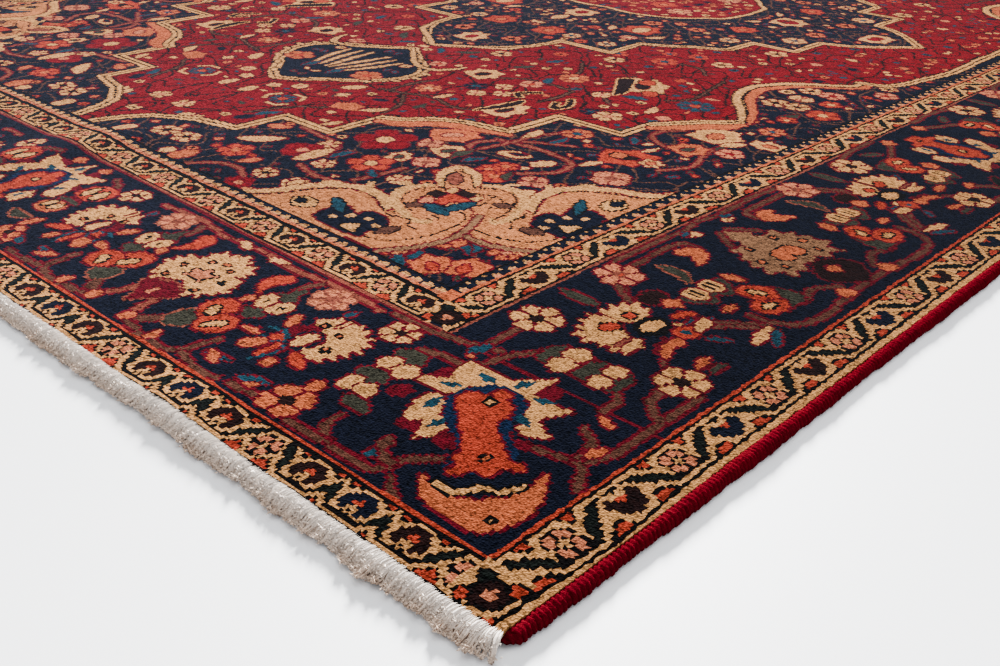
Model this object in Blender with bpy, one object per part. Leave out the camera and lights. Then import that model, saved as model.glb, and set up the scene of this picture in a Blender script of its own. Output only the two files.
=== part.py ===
"""Hand-knotted carpet lying on a floor, in metres, +Z up.

The origin is the middle of the carpet on the floor. X runs across the width, Y along the length.
The pieces are those a weaver makes and finishes: one knotted body, an overcast selvedge down each
long side, and a fringe of warp ends, rooted in a narrow woven strip, across each short end.
"""

import math
import random

import bmesh
import bpy

# Driving dimensions
PILE_HALF_WIDTH = 1.0365
PILE_HALF_LENGTH = 1.610
BODY_THICKNESS = 0.0080
EDGE_DROP = 0.0018           # the pile rounds over at the rim
EDGE_ROUND = 0.006           # width of the rounded rim
GAP = 0.0003                 # clearance between neighbouring pieces
TOP_WAVE = 0.0006            # height of the uneven pile surface

SELVEDGE_WIDTH = 0.0110
SELVEDGE_HEIGHT = 0.0074
SELVEDGE_SUNK = 0.12         # share of the tube's height that is pressed flat on the floor
SELVEDGE_WOBBLE = 0.0005     # slow wobble of its outer side and of its height
SELVEDGE_WAVES = 9.0         # half waves of that wobble from the middle to an end

FRINGE_REACH = 0.0215        # from the pile edge to the longest cut ends
STRIP_DEPTH = 0.0030
STRIP_HEIGHT = 0.0062
LOCK_COUNT = 140
LOCK_GAP = 0.0028
LOCK_BELLY_HEIGHT = 0.0074
LOCK_BELLY_PLACE = 0.42      # share of a lock's length at which it is thickest
LOCK_BELLY_LIFT = 0.6        # share of the edge's lift that is left there
LOCK_TIP_HEIGHT = 0.0036
LOCK_TAPER = 0.82            # width of the cut end over width of the root
LOCK_SHORTEST = 0.80         # the shortest lock over the longest
LOCK_LEAN = 0.0020           # how far a cut end leans sideways

# The hump in the body near the middle of the near end, and the place where the near edge lifts
HUMP = {"x": 0.10, "y": -1.365, "half_width": 0.075, "half_length": 0.185, "height": 0.0062}
EDGE_LIFT = {"x": 0.70, "y": -PILE_HALF_LENGTH, "half_width": 0.075, "half_length": 0.090, "height": 0.0030}

# Grid lines of the body between its rounded rims, and the finer ones over each hump
COLUMNS = 26
ROWS = 40
HUMP_LINES = 6
CLOSEST_LINES = 0.012

COLOURS = {
    "rug_body": (0.30, 0.035, 0.035, 1.0),
    "selvedge": (0.22, 0.012, 0.018, 1.0),
    "fringe": (0.74, 0.70, 0.66, 1.0),
}


def clear_scene():
    """Remove whatever the file starts with."""
    for obj in list(bpy.data.objects):
        bpy.data.objects.remove(obj, do_unlink=True)


def soft_bump(x, y, bump):
    """Height of a rounded hump: cosine squared in x and y, zero outside its half sizes."""
    u = (x - bump["x"]) / bump["half_width"]
    v = (y - bump["y"]) / bump["half_length"]
    if abs(u) >= 1.0 or abs(v) >= 1.0:
        return 0.0
    return bump["height"] * (math.cos(0.5 * math.pi * u) * math.cos(0.5 * math.pi * v)) ** 2


def underside(x, y):
    """Height of the carpet's underside over the floor."""
    return soft_bump(x, y, HUMP) + soft_bump(x, y, EDGE_LIFT)


def pile_top(x, y):
    """Height of the pile: a constant thickness over the underside, a little wavy, lower at the rim."""
    wave = TOP_WAVE * math.sin(5.3 * x + 1.1) * math.cos(4.1 * y + 0.4)
    to_rim = min(PILE_HALF_WIDTH - abs(x), PILE_HALF_LENGTH - abs(y))
    drop = EDGE_DROP * max(0.0, 1.0 - to_rim / EDGE_ROUND) ** 2
    return underside(x, y) + BODY_THICKNESS + wave - drop


def stations(half, count, centre_key, size_key):
    """Grid lines from -half to half: evenly spaced between the rounded rims, finer over each hump."""
    inner = half - EDGE_ROUND
    lines = [-half, -inner, inner, half]
    wanted = []
    for bump in (HUMP, EDGE_LIFT):
        steps = [2.0 * i / HUMP_LINES - 1.0 for i in range(HUMP_LINES + 1)]
        wanted += [bump[centre_key] + bump[size_key] * step for step in steps]
    wanted += [-inner + 2.0 * inner * i / count for i in range(1, count)]
    for line in wanted:
        if abs(line) < inner and all(abs(line - other) > CLOSEST_LINES for other in lines):
            lines.append(line)
    return sorted(lines)


def material(name, colour):
    """A plain Principled material."""
    mat = bpy.data.materials.new(name)
    mat.use_nodes = True
    shader = mat.node_tree.nodes["Principled BSDF"]
    shader.inputs["Base Color"].default_value = colour
    shader.inputs["Roughness"].default_value = 0.92
    shader.inputs["Metallic"].default_value = 0.0
    return mat


def add_object(name, mesh, colour, collection):
    """Put a finished mesh in the carpet's collection under its own material."""
    obj = bpy.data.objects.new(name, mesh)
    obj.data.materials.append(material(name, colour))
    collection.objects.link(obj)
    return obj


def mesh_from(bm, name):
    """Turn a bmesh into a mesh with its faces pointing out."""
    bmesh.ops.recalc_face_normals(bm, faces=bm.faces)
    mesh = bpy.data.meshes.new(name)
    bm.to_mesh(mesh)
    bm.free()
    return mesh


def slab(bm, grid_faces):
    """Close a grid into a slab: the extruded copy becomes the upper side. Returns its vertices."""
    extruded = bmesh.ops.extrude_face_region(bm, geom=grid_faces, use_keep_orig=True)
    return [item for item in extruded["geom"] if isinstance(item, bmesh.types.BMVert)]


def build_body(collection):
    """The knotted body: one slab, flat on the floor but for its hump and lifted edge."""
    xs = stations(PILE_HALF_WIDTH, COLUMNS, "x", "half_width")
    ys = stations(PILE_HALF_LENGTH, ROWS, "y", "half_length")
    bm = bmesh.new()
    bmesh.ops.create_grid(bm, x_segments=len(xs) - 1, y_segments=len(ys) - 1, size=0.5)
    for vert in bm.verts:
        vert.co.x = xs[round((vert.co.x + 0.5) * (len(xs) - 1))]
        vert.co.y = ys[round((vert.co.y + 0.5) * (len(ys) - 1))]
    upper = slab(bm, bm.faces[:])
    raised = set(upper)
    for vert in bm.verts:
        height = pile_top if vert in raised else underside
        vert.co.z = height(vert.co.x, vert.co.y)
    return add_object("rug_body", mesh_from(bm, "rug_body"), COLOURS["rug_body"], collection)


def build_selvedge(name, side, collection):
    """An overcast selvedge: a tube along a long side, pressed oval, flat on the floor."""
    half_width = 0.5 * SELVEDGE_WIDTH
    axis_x = side * (PILE_HALF_WIDTH + GAP + half_width)
    curve = bpy.data.curves.new(name, "CURVE")
    curve.dimensions = "3D"
    curve.bevel_depth = half_width
    curve.bevel_resolution = 2
    curve.use_fill_caps = True
    spline = curve.splines.new("POLY")
    spline.points.add(ROWS)
    for i, point in enumerate(spline.points):
        point.co = (axis_x, PILE_HALF_LENGTH * (2.0 * i / ROWS - 1.0), 0.0, 1.0)
    tube = bpy.data.objects.new(name, curve)
    collection.objects.link(tube)
    depsgraph = bpy.context.evaluated_depsgraph_get()
    mesh = bpy.data.meshes.new_from_object(tube.evaluated_get(depsgraph))
    bpy.data.objects.remove(tube, do_unlink=True)

    bm = bmesh.new()
    bm.from_mesh(mesh)
    bpy.data.meshes.remove(mesh)
    bmesh.ops.remove_doubles(bm, verts=bm.verts, dist=0.00001)
    for vert in bm.verts:
        wobble = SELVEDGE_WOBBLE * math.sin(math.pi * SELVEDGE_WAVES * vert.co.y / PILE_HALF_LENGTH)
        outward = 0.5 + 0.5 * side * (vert.co.x - axis_x) / half_width
        upward = 0.5 + 0.5 * vert.co.z / half_width
        vert.co.x += side * (wobble - SELVEDGE_WOBBLE) * outward
        vert.co.z = max(0.0, (SELVEDGE_HEIGHT + wobble) * (upward * (1.0 + SELVEDGE_SUNK) - SELVEDGE_SUNK))
    return add_object(name, mesh_from(bm, name), COLOURS["selvedge"], collection)


def lock_shapes(seed):
    """Length and lean of each lock of one fringe, the longest exactly at full reach."""
    rng = random.Random(seed)
    lengths = [rng.uniform(LOCK_SHORTEST, 1.0) for _ in range(LOCK_COUNT)]
    lengths[LOCK_COUNT // 3] = 1.0
    leans = [rng.uniform(-LOCK_LEAN, LOCK_LEAN) for _ in range(LOCK_COUNT)]
    return lengths, leans


def strip_stations():
    """Places along the strip where a lock starts or ends, in pairs."""
    pitch = 2.0 * PILE_HALF_WIDTH / LOCK_COUNT
    places = [-PILE_HALF_WIDTH]
    for i in range(LOCK_COUNT):
        left = -PILE_HALF_WIDTH + i * pitch
        places += [left + 0.5 * LOCK_GAP, left + pitch - 0.5 * LOCK_GAP]
    return places + [PILE_HALF_WIDTH]


def shape_lock(face, middle, out_y, top, width_share):
    """Move a lock's four corners to one cross-section that stands on the floor."""
    for vert in face.verts:
        vert.co.x = middle + (vert.co.x - middle) * width_share
    high = sorted(face.verts, key=lambda v: v.co.z)
    for vert in high[:2]:
        vert.co.z = 0.0
    for vert in high[2:]:
        vert.co.z = top
    for vert in face.verts:
        vert.co.y = out_y


def build_fringe(name, end, seed, collection):
    """A fringe: a narrow woven strip with locks that belly out of it and lie level on the floor."""
    places = strip_stations()
    inner_y = PILE_HALF_LENGTH + GAP
    outer_y = inner_y + STRIP_DEPTH
    bm = bmesh.new()
    bmesh.ops.create_grid(bm, x_segments=len(places) - 1, y_segments=1, size=0.5)
    for vert in bm.verts:
        x = places[round((vert.co.x + 0.5) * (len(places) - 1))]
        lift = underside(x, end * PILE_HALF_LENGTH)
        vert.co = (x, end * outer_y, lift + (STRIP_HEIGHT if vert.co.y > 0.0 else 0.0))
    for vert in slab(bm, bm.faces[:]):
        vert.co.y = end * inner_y

    outer = [f for f in bm.faces if all(abs(abs(v.co.y) - outer_y) < 1e-6 for v in f.verts)]
    outer.sort(key=lambda f: f.calc_center_median().x)
    roots = outer[1::2]
    lengths, leans = lock_shapes(seed)
    middles = [face.calc_center_median().x for face in roots]
    lifts = [underside(x, end * PILE_HALF_LENGTH) for x in middles]
    reach = FRINGE_REACH - GAP - STRIP_DEPTH

    bellies = bmesh.ops.extrude_discrete_faces(bm, faces=roots)["faces"]
    bellies.sort(key=lambda f: f.calc_center_median().x)
    for face, middle, length, lift in zip(bellies, middles, lengths, lifts):
        out_y = end * (outer_y + LOCK_BELLY_PLACE * reach * length)
        shape_lock(face, middle, out_y, LOCK_BELLY_LIFT * lift + LOCK_BELLY_HEIGHT, 1.0)

    tips = bmesh.ops.extrude_discrete_faces(bm, faces=bellies)["faces"]
    tips.sort(key=lambda f: f.calc_center_median().x)
    for face, middle, length, lean in zip(tips, middles, lengths, leans):
        shape_lock(face, middle, end * (outer_y + reach * length), LOCK_TIP_HEIGHT, LOCK_TAPER)
        for vert in face.verts:
            vert.co.x += lean
    return add_object(name, mesh_from(bm, name), COLOURS["fringe"], collection)


def main():
    """Build every piece of the carpet."""
    clear_scene()
    collection = bpy.data.collections.new("knotted_carpet")
    bpy.context.scene.collection.children.link(collection)
    build_body(collection)
    build_selvedge("selvedge_right", 1.0, collection)
    build_selvedge("selvedge_left", -1.0, collection)
    build_fringe("fringe_near", -1.0, 7, collection)
    build_fringe("fringe_far", 1.0, 11, collection)


main()
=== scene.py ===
"""Looks of a hand-knotted carpet: its knotted pattern, pile, back, selvedges and fringes.

The pattern is drawn knot by knot on a chart of one quarter of the carpet, as a weaver's cartoon is, and
each piece is a surface built from arrays. Chart places are in millimetres: u from the middle line towards
the side, v from the middle line towards the end. Everything else is in metres.
"""

import logging
import math
from collections.abc import Callable, Iterable, Sequence
from dataclasses import dataclass, field
from enum import IntEnum

import bpy
import numpy as np
from mathutils import Matrix


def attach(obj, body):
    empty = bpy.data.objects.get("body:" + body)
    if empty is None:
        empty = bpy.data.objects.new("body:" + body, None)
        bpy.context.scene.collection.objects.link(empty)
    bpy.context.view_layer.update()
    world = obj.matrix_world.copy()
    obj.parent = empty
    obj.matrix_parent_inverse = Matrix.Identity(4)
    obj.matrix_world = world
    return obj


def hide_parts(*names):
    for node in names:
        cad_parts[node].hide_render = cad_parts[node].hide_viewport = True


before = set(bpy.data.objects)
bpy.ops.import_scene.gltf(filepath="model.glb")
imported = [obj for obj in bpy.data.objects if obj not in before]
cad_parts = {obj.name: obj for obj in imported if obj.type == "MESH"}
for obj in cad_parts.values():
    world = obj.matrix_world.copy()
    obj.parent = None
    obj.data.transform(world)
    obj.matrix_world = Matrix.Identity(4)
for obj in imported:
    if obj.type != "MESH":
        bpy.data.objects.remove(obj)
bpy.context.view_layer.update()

LOG = logging.getLogger("carpet")
BODY = "root"

# Sizes of the carpet, the same as in the part's source, in metres
PILE_HALF_WIDTH = 1.0365
PILE_HALF_LENGTH = 1.610
BODY_THICKNESS = 0.0080
EDGE_DROP = 0.0018
GAP = 0.0003
TOP_WAVE = 0.0006
SELVEDGE_WIDTH = 0.0110
SELVEDGE_WAVES = 9.0
FRINGE_REACH = 0.0215
HUMP = {"x": 0.10, "y": -1.365, "half_width": 0.075, "half_length": 0.185, "height": 0.0062}
EDGE_LIFT = {"x": 0.70, "y": -PILE_HALF_LENGTH, "half_width": 0.075, "half_length": 0.090, "height": 0.0030}

RIM_DROP = 0.0002            # how much lower the pile is at its rim
RIM_ROUND = 0.003            # how far inside the rim that starts
FOUNDATION = 0.0024          # thickness of the woven back under the pile
KNOT = 3.2                   # pitch of the knots, in millimetres
MILLIMETRE = 0.001
BAND_PERIOD = 0.3142         # period of a wave texture at scale 1
NO_WOOL = -1                 # marks a knot that nothing is drawn on
INNER_SIDE = 696.0           # where the borders start, in chart places
INNER_END = 1309.0
SOWN_SIDE = 700.0            # how far small flowers are sown
SOWN_END = 1306.0
DIAGONAL = 598.0             # how much further v is than u on the corner's diagonal
FLAT = 0.00001               # the underside counts as lying on the floor below this height

Array = np.ndarray
Place = tuple[float, float]
Wave = tuple[float, float, float, float, float]

# Waves of the edges: height, rate, bend, drift and phase of each
SELVEDGE_UNEVEN = (
    (0.0005, 61.0, 1.3, 0.0, 0.5 * math.pi), (0.0003, 173.0, 2.0, 29.0, 0.0),
    (0.0004, 419.0, 3.0, 57.0, 0.0),
)
FRINGE_TUFTS = ((0.0007, 95.0, 3.0, 17.0, 0.0), (0.0004, 310.0, 0.0, 0.0, 0.0))


class Wool(IntEnum):
    """The dyed wools of the pile."""

    RED = 0
    NAVY = 1
    IVORY = 2
    PEACH = 3
    ORANGE = 4
    TEAL = 5
    PINK = 6
    OLIVE = 7
    BROWN = 8
    MAROON = 9
    BLACK = 10
    GREEN = 11
    ROSE = 12
    VINE = 13
    CRIMSON = 14
    BLUE = 15
    TAN = 16
    APRICOT = 17


# Colour of each wool, linear red, green and blue
DYES = {
    Wool.RED: (0.0816, 0.0010, 0.0030),
    Wool.NAVY: (0.0022, 0.0028, 0.0064),
    Wool.IVORY: (0.2864, 0.1272, 0.0403),
    Wool.PEACH: (0.2217, 0.0458, 0.0156),
    Wool.ORANGE: (0.1783, 0.0173, 0.0074),
    Wool.TEAL: (0.0044, 0.0190, 0.0288),
    Wool.PINK: (0.2477, 0.0704, 0.0323),
    Wool.OLIVE: (0.0157, 0.0149, 0.0101),
    Wool.BROWN: (0.0060, 0.0022, 0.0020),
    Wool.MAROON: (0.0479, 0.0012, 0.0042),
    Wool.BLACK: (0.0020, 0.0015, 0.0015),
    Wool.GREEN: (0.0031, 0.0040, 0.0033),
    Wool.ROSE: (0.0975, 0.0230, 0.0137),
    Wool.VINE: (0.0415, 0.0154, 0.0095),
    Wool.CRIMSON: (0.0489, 0.0004, 0.0029),
    Wool.BLUE: (0.0022, 0.0062, 0.0185),
    Wool.TAN: (0.1078, 0.0493, 0.0235),
    Wool.APRICOT: (0.2473, 0.0804, 0.0263),
}

# Letters of the charts of the narrow stripes
LETTERS = {
    "i": Wool.IVORY, "k": Wool.BLACK, "b": Wool.BROWN, "n": Wool.NAVY, "o": Wool.ORANGE,
    "p": Wool.PINK, "g": Wool.GREEN, "e": Wool.PEACH, "t": Wool.TEAL, "y": Wool.OLIVE,
}


def smooth_path(points: Sequence[Place], closed: bool, steps: int = 6) -> Array:
    """Draw a smooth curve through points.

    Each stretch between two points is the Catmull-Rom cubic of its four neighbours.

    Args:
        points: The places the curve passes through.
        closed: Whether the last point joins the first.
        steps: Samples on each stretch.

    Returns:
        The samples, one row each.
    """
    p1 = np.asarray(points, float)
    if closed:
        p0, p2, p3 = np.roll(p1, 1, 0), np.roll(p1, -1, 0), np.roll(p1, -2, 0)
    else:
        ends = np.vstack([2.0 * p1[0] - p1[1], p1, 2.0 * p1[-1] - p1[-2]])
        p0, p1, p2, p3 = ends[:-3], ends[1:-2], ends[2:-1], ends[3:]
    t = (np.arange(steps) / steps)[None, :, None]
    p0, a, b, p3 = p0[:, None], p1[:, None], p2[:, None], p3[:, None]
    cubic = 2.0 * a + (b - p0) * t + (2.0 * p0 - 5.0 * a + 4.0 * b - p3) * t**2
    curve = 0.5 * (cubic + (3.0 * a - p0 - 3.0 * b + p3) * t**3)
    path = curve.reshape(-1, p1.shape[1])
    return path if closed else np.vstack([path, np.asarray(points, float)[-1]])


def ease(value: Array | float, start: float, end: float) -> Array:
    """A smooth step: 0 up to start, 1 from end on, and 3t^2 - 2t^3 of the share t between."""
    t = np.clip((np.asarray(value, float) - start) / (end - start), 0.0, 1.0)
    return t * t * (3.0 - 2.0 * t)


@dataclass(frozen=True)
class Spot:
    """A place on the chart where a motif stands, and the way it points.

    Turn 0 points to the carpet's middle, 90 to its side and 180 to its end.
    """

    u: float
    v: float
    turn: float = 0.0
    size: float = 1.0

    def swing(self, a: Array, b: Array) -> tuple[Array, Array]:
        """Turn a pair of offsets; the same matrix leads to the motif's own axes and back."""
        angle = math.radians(self.turn)
        return (
            a * math.cos(angle) + b * math.sin(angle),
            a * math.sin(angle) - b * math.cos(angle),
        )

    def put(self, points: Iterable[Place]) -> Array:
        """Move points from the motif's axes, x to its right and y forward, onto the chart."""
        x, y = np.asarray(list(points), float).T
        du, dv = self.swing(x * self.size, y * self.size)
        return np.stack([self.u + du, self.v + dv], 1)

    def local(self, u: Array, v: Array) -> tuple[Array, Array]:
        """Coordinates of chart places on the motif's axes."""
        x, y = self.swing(u - self.u, v - self.v)
        return x / self.size, y / self.size


@dataclass
class Warp:
    """How far the woven lines stray from straight ones, as on any carpet knotted by hand.

    The end borders drift towards the middle of the carpet away from the corners, the inner guard of the
    sides leans out towards the middle, and the side's last rows flare by the corner.
    """

    end_drift: float = 14.0
    side_drift: float = 8.0
    corner_flare: float = 5.0

    def moved(self, u: Array, v: Array) -> tuple[Array, Array]:
        """Where knots at straight chart places really lie."""
        across = 1.0 - ease(u, 0.0, 740.0)
        along = ease(1566.0 - v, 0.0, 190.0) * ease(v, 900.0, 1250.0)
        drift_v = -self.end_drift * across * along + 3.0 * across * ease(v, 1500.0, 1566.0)
        inner = ease(u, 480.0, 700.0) * (1.0 - ease(u, 770.0, 960.0))
        flare = ease(u, 1000.0, 1030.0) * np.exp(-(((v - 1500.0) / 60.0) ** 2))
        drift_u = self.side_drift * inner * (1.0 - ease(v, 100.0, 1300.0)) + self.corner_flare * flare
        return u + drift_u, v + drift_v


@dataclass
class Chart:
    """The cartoon of one quarter of the carpet: one wool for each knot.

    Shapes are filled knot by knot: a knot belongs to a shape when its real place lies inside it.
    """

    width: float = PILE_HALF_WIDTH / MILLIMETRE
    length: float = PILE_HALF_LENGTH / MILLIMETRE
    pitch: float = KNOT
    warp: Warp = field(default_factory=Warp)

    def __post_init__(self) -> None:
        """Lay out the empty chart."""
        self.columns = round(self.width / self.pitch)
        self.rows = round(self.length / self.pitch)
        self.step_u = self.width / self.columns
        self.step_v = self.length / self.rows
        self.knots = np.full((self.rows, self.columns), int(Wool.RED), np.int8)
        self.flat_u, self.flat_v = np.meshgrid(
            (np.arange(self.columns) + 0.5) * self.step_u, (np.arange(self.rows) + 0.5) * self.step_v
        )
        self.u, self.v = self.warp.moved(self.flat_u, self.flat_v)

    def layer(self) -> "Chart":
        """An empty chart of the same size, to draw a mask on."""
        layer = Chart(self.width, self.length, self.pitch, self.warp)
        layer.knots[:] = NO_WOOL
        return layer

    def window(self, low: Array, high: Array, margin: float = 20.0) -> tuple[slice, slice]:
        """The block of knots that can lie between two corners, with room for the warp."""
        first = np.floor((np.asarray(low) - margin) / (self.step_u, self.step_v)).astype(int)
        last = np.ceil((np.asarray(high) + margin) / (self.step_u, self.step_v)).astype(int)
        first = np.maximum(first, 0)
        return slice(first[1], max(last[1], 0)), slice(first[0], max(last[0], 0))

    def lay(self, block: tuple[slice, slice], inside: Array, wool: Wool | None, edge: Wool | None) -> None:
        """Knot a mask in one wool, and a line one knot wide round it in another.

        Args:
            block: The window that the mask covers.
            inside: The mask.
            wool: Wool of the shape, or None to leave its ground.
            edge: Wool of the line round it, or None.
        """
        part = self.knots[block]
        if edge is not None:
            grown = inside.copy()
            grown[1:] |= inside[:-1]
            grown[:-1] |= inside[1:]
            grown[:, 1:] |= inside[:, :-1]
            grown[:, :-1] |= inside[:, 1:]
            part[grown & ~inside] = int(edge)
        if wool is not None:
            part[inside] = int(wool)

    def mask(self, spot: Spot, reach: float, rule: Callable[[Array, Array], Array]) -> tuple:
        """Evaluate a rule on the motif's own axes round a spot.

        Args:
            spot: Where the motif stands.
            reach: How far it spreads from there, on its own axes.
            rule: Says of each place whether it is inside.

        Returns:
            The window and the mask.
        """
        span = reach * spot.size
        block = self.window((spot.u - span, spot.v - span), (spot.u + span, spot.v + span))
        x, y = spot.local(self.u[block], self.v[block])
        return block, rule(x, y)

    def rule(self, spot: Spot, reach: float, rule: Callable, wool: Wool | None,
             edge: Wool | None = None) -> None:
        """Knot what a rule says is inside."""
        block, inside = self.mask(spot, reach, rule)
        self.lay(block, inside, wool, edge)

    def shape(
        self, points: Array, wool: Wool | None, edge: Wool | None = None, smooth: bool = True
    ) -> None:
        """Knot a closed outline: a knot is inside when a ray from it crosses the outline an odd number
        of times.

        Args:
            points: The outline, in chart places.
            wool: Its filling.
            edge: The line round it.
            smooth: Whether the outline is curved through its points.
        """
        outline = smooth_path(points, True) if smooth else np.asarray(points, float)
        block = self.window(outline.min(0), outline.max(0))
        u, v = self.u[block], self.v[block]
        inside = np.zeros(u.shape, bool)
        for (u0, v0), (u1, v1) in zip(outline, np.roll(outline, -1, 0)):
            if v0 != v1:
                crossing = (v0 > v) != (v1 > v)
                inside ^= crossing & (u < u0 + (v - v0) * (u1 - u0) / (v1 - v0))
        self.lay(block, inside, wool, edge)

    def stroke(
        self,
        points: Sequence[Place],
        width: float | Sequence[float],
        wool: Wool | None,
        edge: Wool | None = None,
        smooth: bool = True,
    ) -> None:
        """Knot a line: a knot is on it when it lies nearer than half the width to a stretch of it.

        Args:
            points: The places it runs through.
            width: Its width, or one width for each point.
            wool: Its wool.
            edge: The line on both sides of it.
            smooth: Whether it is curved through its points.
        """
        widths = np.broadcast_to(np.asarray(width, float), (len(points),))
        path = np.column_stack([np.asarray(points, float), widths])
        path = smooth_path(path, False) if smooth else path
        block = self.window(path[:, :2].min(0) - 10.0, path[:, :2].max(0) + 10.0)
        u, v = self.u[block], self.v[block]
        on_line = np.zeros(u.shape, bool)
        for (u0, v0, w0), (u1, v1, w1) in zip(path[:-1], path[1:]):
            du, dv = u1 - u0, v1 - v0
            share = np.clip(((u - u0) * du + (v - v0) * dv) / max(du * du + dv * dv, 1e-6), 0.0, 1.0)
            away = np.hypot(u - u0 - share * du, v - v0 - share * dv)
            on_line |= away < 0.5 * (w0 + share * (w1 - w0))
        self.lay(block, on_line, wool, edge)

    def band(self, inside: Array, wool: Wool) -> None:
        """Knot a mask over the whole chart."""
        self.knots[inside] = int(wool)


@dataclass(frozen=True)
class SideRepeat:
    """One half of a repeat up the side: its second numbers count from a centre, spread by mirror."""

    centre: float
    mirror: float

    def places(self, *points: Place) -> list[Place]:
        """Places on the chart."""
        return [(u, self.centre + self.mirror * v) for u, v in points]

    def spot(self, u: float, v: float, turn: float = 0.0) -> Spot:
        """A spot on the chart; turn 0 points away from the centre."""
        return Spot(u, self.centre + self.mirror * v, turn if self.mirror < 0 else 180.0 - turn)


@dataclass(frozen=True)
class EndRepeat:
    """One half of a repeat along the end: its first numbers count from a centre, spread by mirror."""

    centre: float
    mirror: float

    def places(self, *points: Place) -> list[Place]:
        """Places on the chart."""
        return [(self.centre + self.mirror * u, v) for u, v in points]

    def spot(self, u: float, v: float, turn: float = 0.0) -> Spot:
        """A spot on the chart; turn leans away from the centre."""
        return Spot(self.centre + self.mirror * u, v, turn * self.mirror)


@dataclass
class Motifs:
    """The weaver's stock of flowers, buds, leaves and stems, drawn on a chart."""

    chart: Chart

    def flower(
        self, spot: Spot, radius: float, petal: Wool, eye: Wool, petals: int = 6, edge: Wool = Wool.MAROON,
        heart: Wool | None = None,
    ) -> None:
        """A flower seen from above.

        Its rim is a circle drawn in between the petals by the absolute value of a cosine, and slits one
        knot wide part the petals.

        Args:
            spot: Its middle.
            radius: Its radius.
            petal: Wool of the petals.
            eye: Wool of the middle.
            petals: How many petals.
            edge: Wool of its line and slits.
            heart: Wool of a dot in the middle of the eye.
        """
        chart = self.chart

        def rim(x: Array, y: Array) -> Array:
            """Inside the petals."""
            wave = np.abs(np.cos(0.5 * petals * np.arctan2(x, y)))
            return np.hypot(x, y) < radius * (0.74 + 0.26 * np.sqrt(wave))

        def slits(x: Array, y: Array) -> Array:
            """On a slit."""
            angle = (np.arctan2(x, y) * petals / (2.0 * np.pi) - 0.5) % 1.0
            off = np.minimum(angle, 1.0 - angle) * 2.0 * np.pi / petals
            away = np.hypot(x, y)
            return (away * off < 1.7) & (away > 0.25 * radius) & rim(x, y)

        chart.rule(spot, radius + 4.0, rim, petal, edge)
        if radius > 13.0:
            chart.rule(spot, radius, slits, edge)
        chart.rule(spot, radius, lambda x, y: np.hypot(x, y) < 0.26 * radius + 1.2, eye)
        if heart is not None:
            chart.rule(spot, radius, lambda x, y: np.hypot(x, y) < 2.4, heart)

    def fan(
        self, spot: Spot, length: float, width: float, teeth: int, wool: Wool,
        depth: float = 0.24, spread: float = 150.0,
    ) -> None:
        """A toothed palmette: an oval whose rim goes in and out in sharp teeth.

        Args:
            spot: Its middle; it points away from its stem.
            length: Length along its axis.
            width: Width across it.
            teeth: Number of teeth over the spread.
            wool: Its filling.
            depth: How deep the teeth are cut, as a share of the radius.
            spread: Angle to each side of its axis that has teeth, in degrees.
        """
        angle = np.radians(np.linspace(-spread, spread, 2 * teeth + 1))
        reach = np.where(np.arange(2 * teeth + 1) % 2 == 1, 1.0, 1.0 - depth)
        outline = np.stack([0.5 * width * np.sin(angle) * reach, 0.5 * length * np.cos(angle) * reach], 1)
        self.chart.shape(spot.put(outline), wool, Wool.MAROON, smooth=False)

    def leaf(
        self, spot: Spot, length: float, width: float, wool: Wool, edge: Wool | None = Wool.MAROON,
        bend: float = 0.0,
    ) -> None:
        """A pointed leaf from its stalk at the spot: two arcs whose gap is a sine, along a bent middle.

        Args:
            spot: Its stalk end.
            length: Its length.
            width: Its width.
            wool: Its filling.
            edge: The line round it.
            bend: How far its middle bows to the right.
        """
        share = np.linspace(0.0, 1.0, 9)
        middle = bend * np.sin(np.pi * share)
        half = 0.5 * width * np.sin(np.pi * share) ** 0.8
        left = np.stack([middle - half, length * share], 1)
        right = np.stack([middle + half, length * share], 1)[::-1]
        self.chart.shape(spot.put(np.vstack([left, right[1:-1]])), wool, edge, smooth=False)

    def bud(
        self, spot: Spot, length: float, width: float, wool: Wool, edge: Wool | None = Wool.MAROON,
        slots: int = 0,
    ) -> None:
        """A round bud: an oval, with short black slots side by side on it if any are asked for."""
        self.chart.rule(
            spot, max(length, width), lambda x, y: (2.0 * x / width) ** 2 + (2.0 * y / length) ** 2 < 1.0,
            wool, edge,
        )
        for i in range(slots):
            across = (i + 1.0) / (slots + 1.0) - 0.5
            ends = [(across * width, -0.24 * length), (across * width, 0.24 * length)]
            self.chart.stroke(spot.put(ends), 3.0, Wool.BLACK)

    def pair(
        self, spot: Spot, width: float, height: float, wool: Wool, slots: int = 0
    ) -> None:
        """Two buds side by side over a cap of olive leaves."""
        points = [(-0.75 * width, 0.10 * height), (-0.3 * width, -0.95 * height), (0.0, -0.5 * height),
                  (0.3 * width, -0.95 * height), (0.75 * width, 0.10 * height), (0.0, 0.2 * height)]
        self.chart.shape(spot.put(points), Wool.OLIVE, Wool.MAROON)
        for sign in (-1.0, 1.0):
            u, v = spot.put([(sign * 0.27 * width, 0.0)])[0]
            self.bud(Spot(u, v, spot.turn, spot.size), height, 0.52 * width, wool, slots=slots)

    def eye(self, u: float, v: float, radius: float = 6.5, inside: Wool = Wool.IVORY) -> None:
        """A dot with a black ring."""
        self.chart.rule(Spot(u, v), 2.0 * radius, lambda x, y: np.hypot(x, y) < radius, Wool.BLACK)
        self.chart.rule(Spot(u, v), radius, lambda x, y: np.hypot(x, y) < radius - 3.2, inside)

    def vine(self, *points: Place, width: float = 6.0, wool: Wool = Wool.VINE,
             edge: Wool = Wool.MAROON) -> None:
        """A stem through some places, with a dark line on both its sides."""
        self.chart.stroke(points, width, wool, edge)

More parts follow.
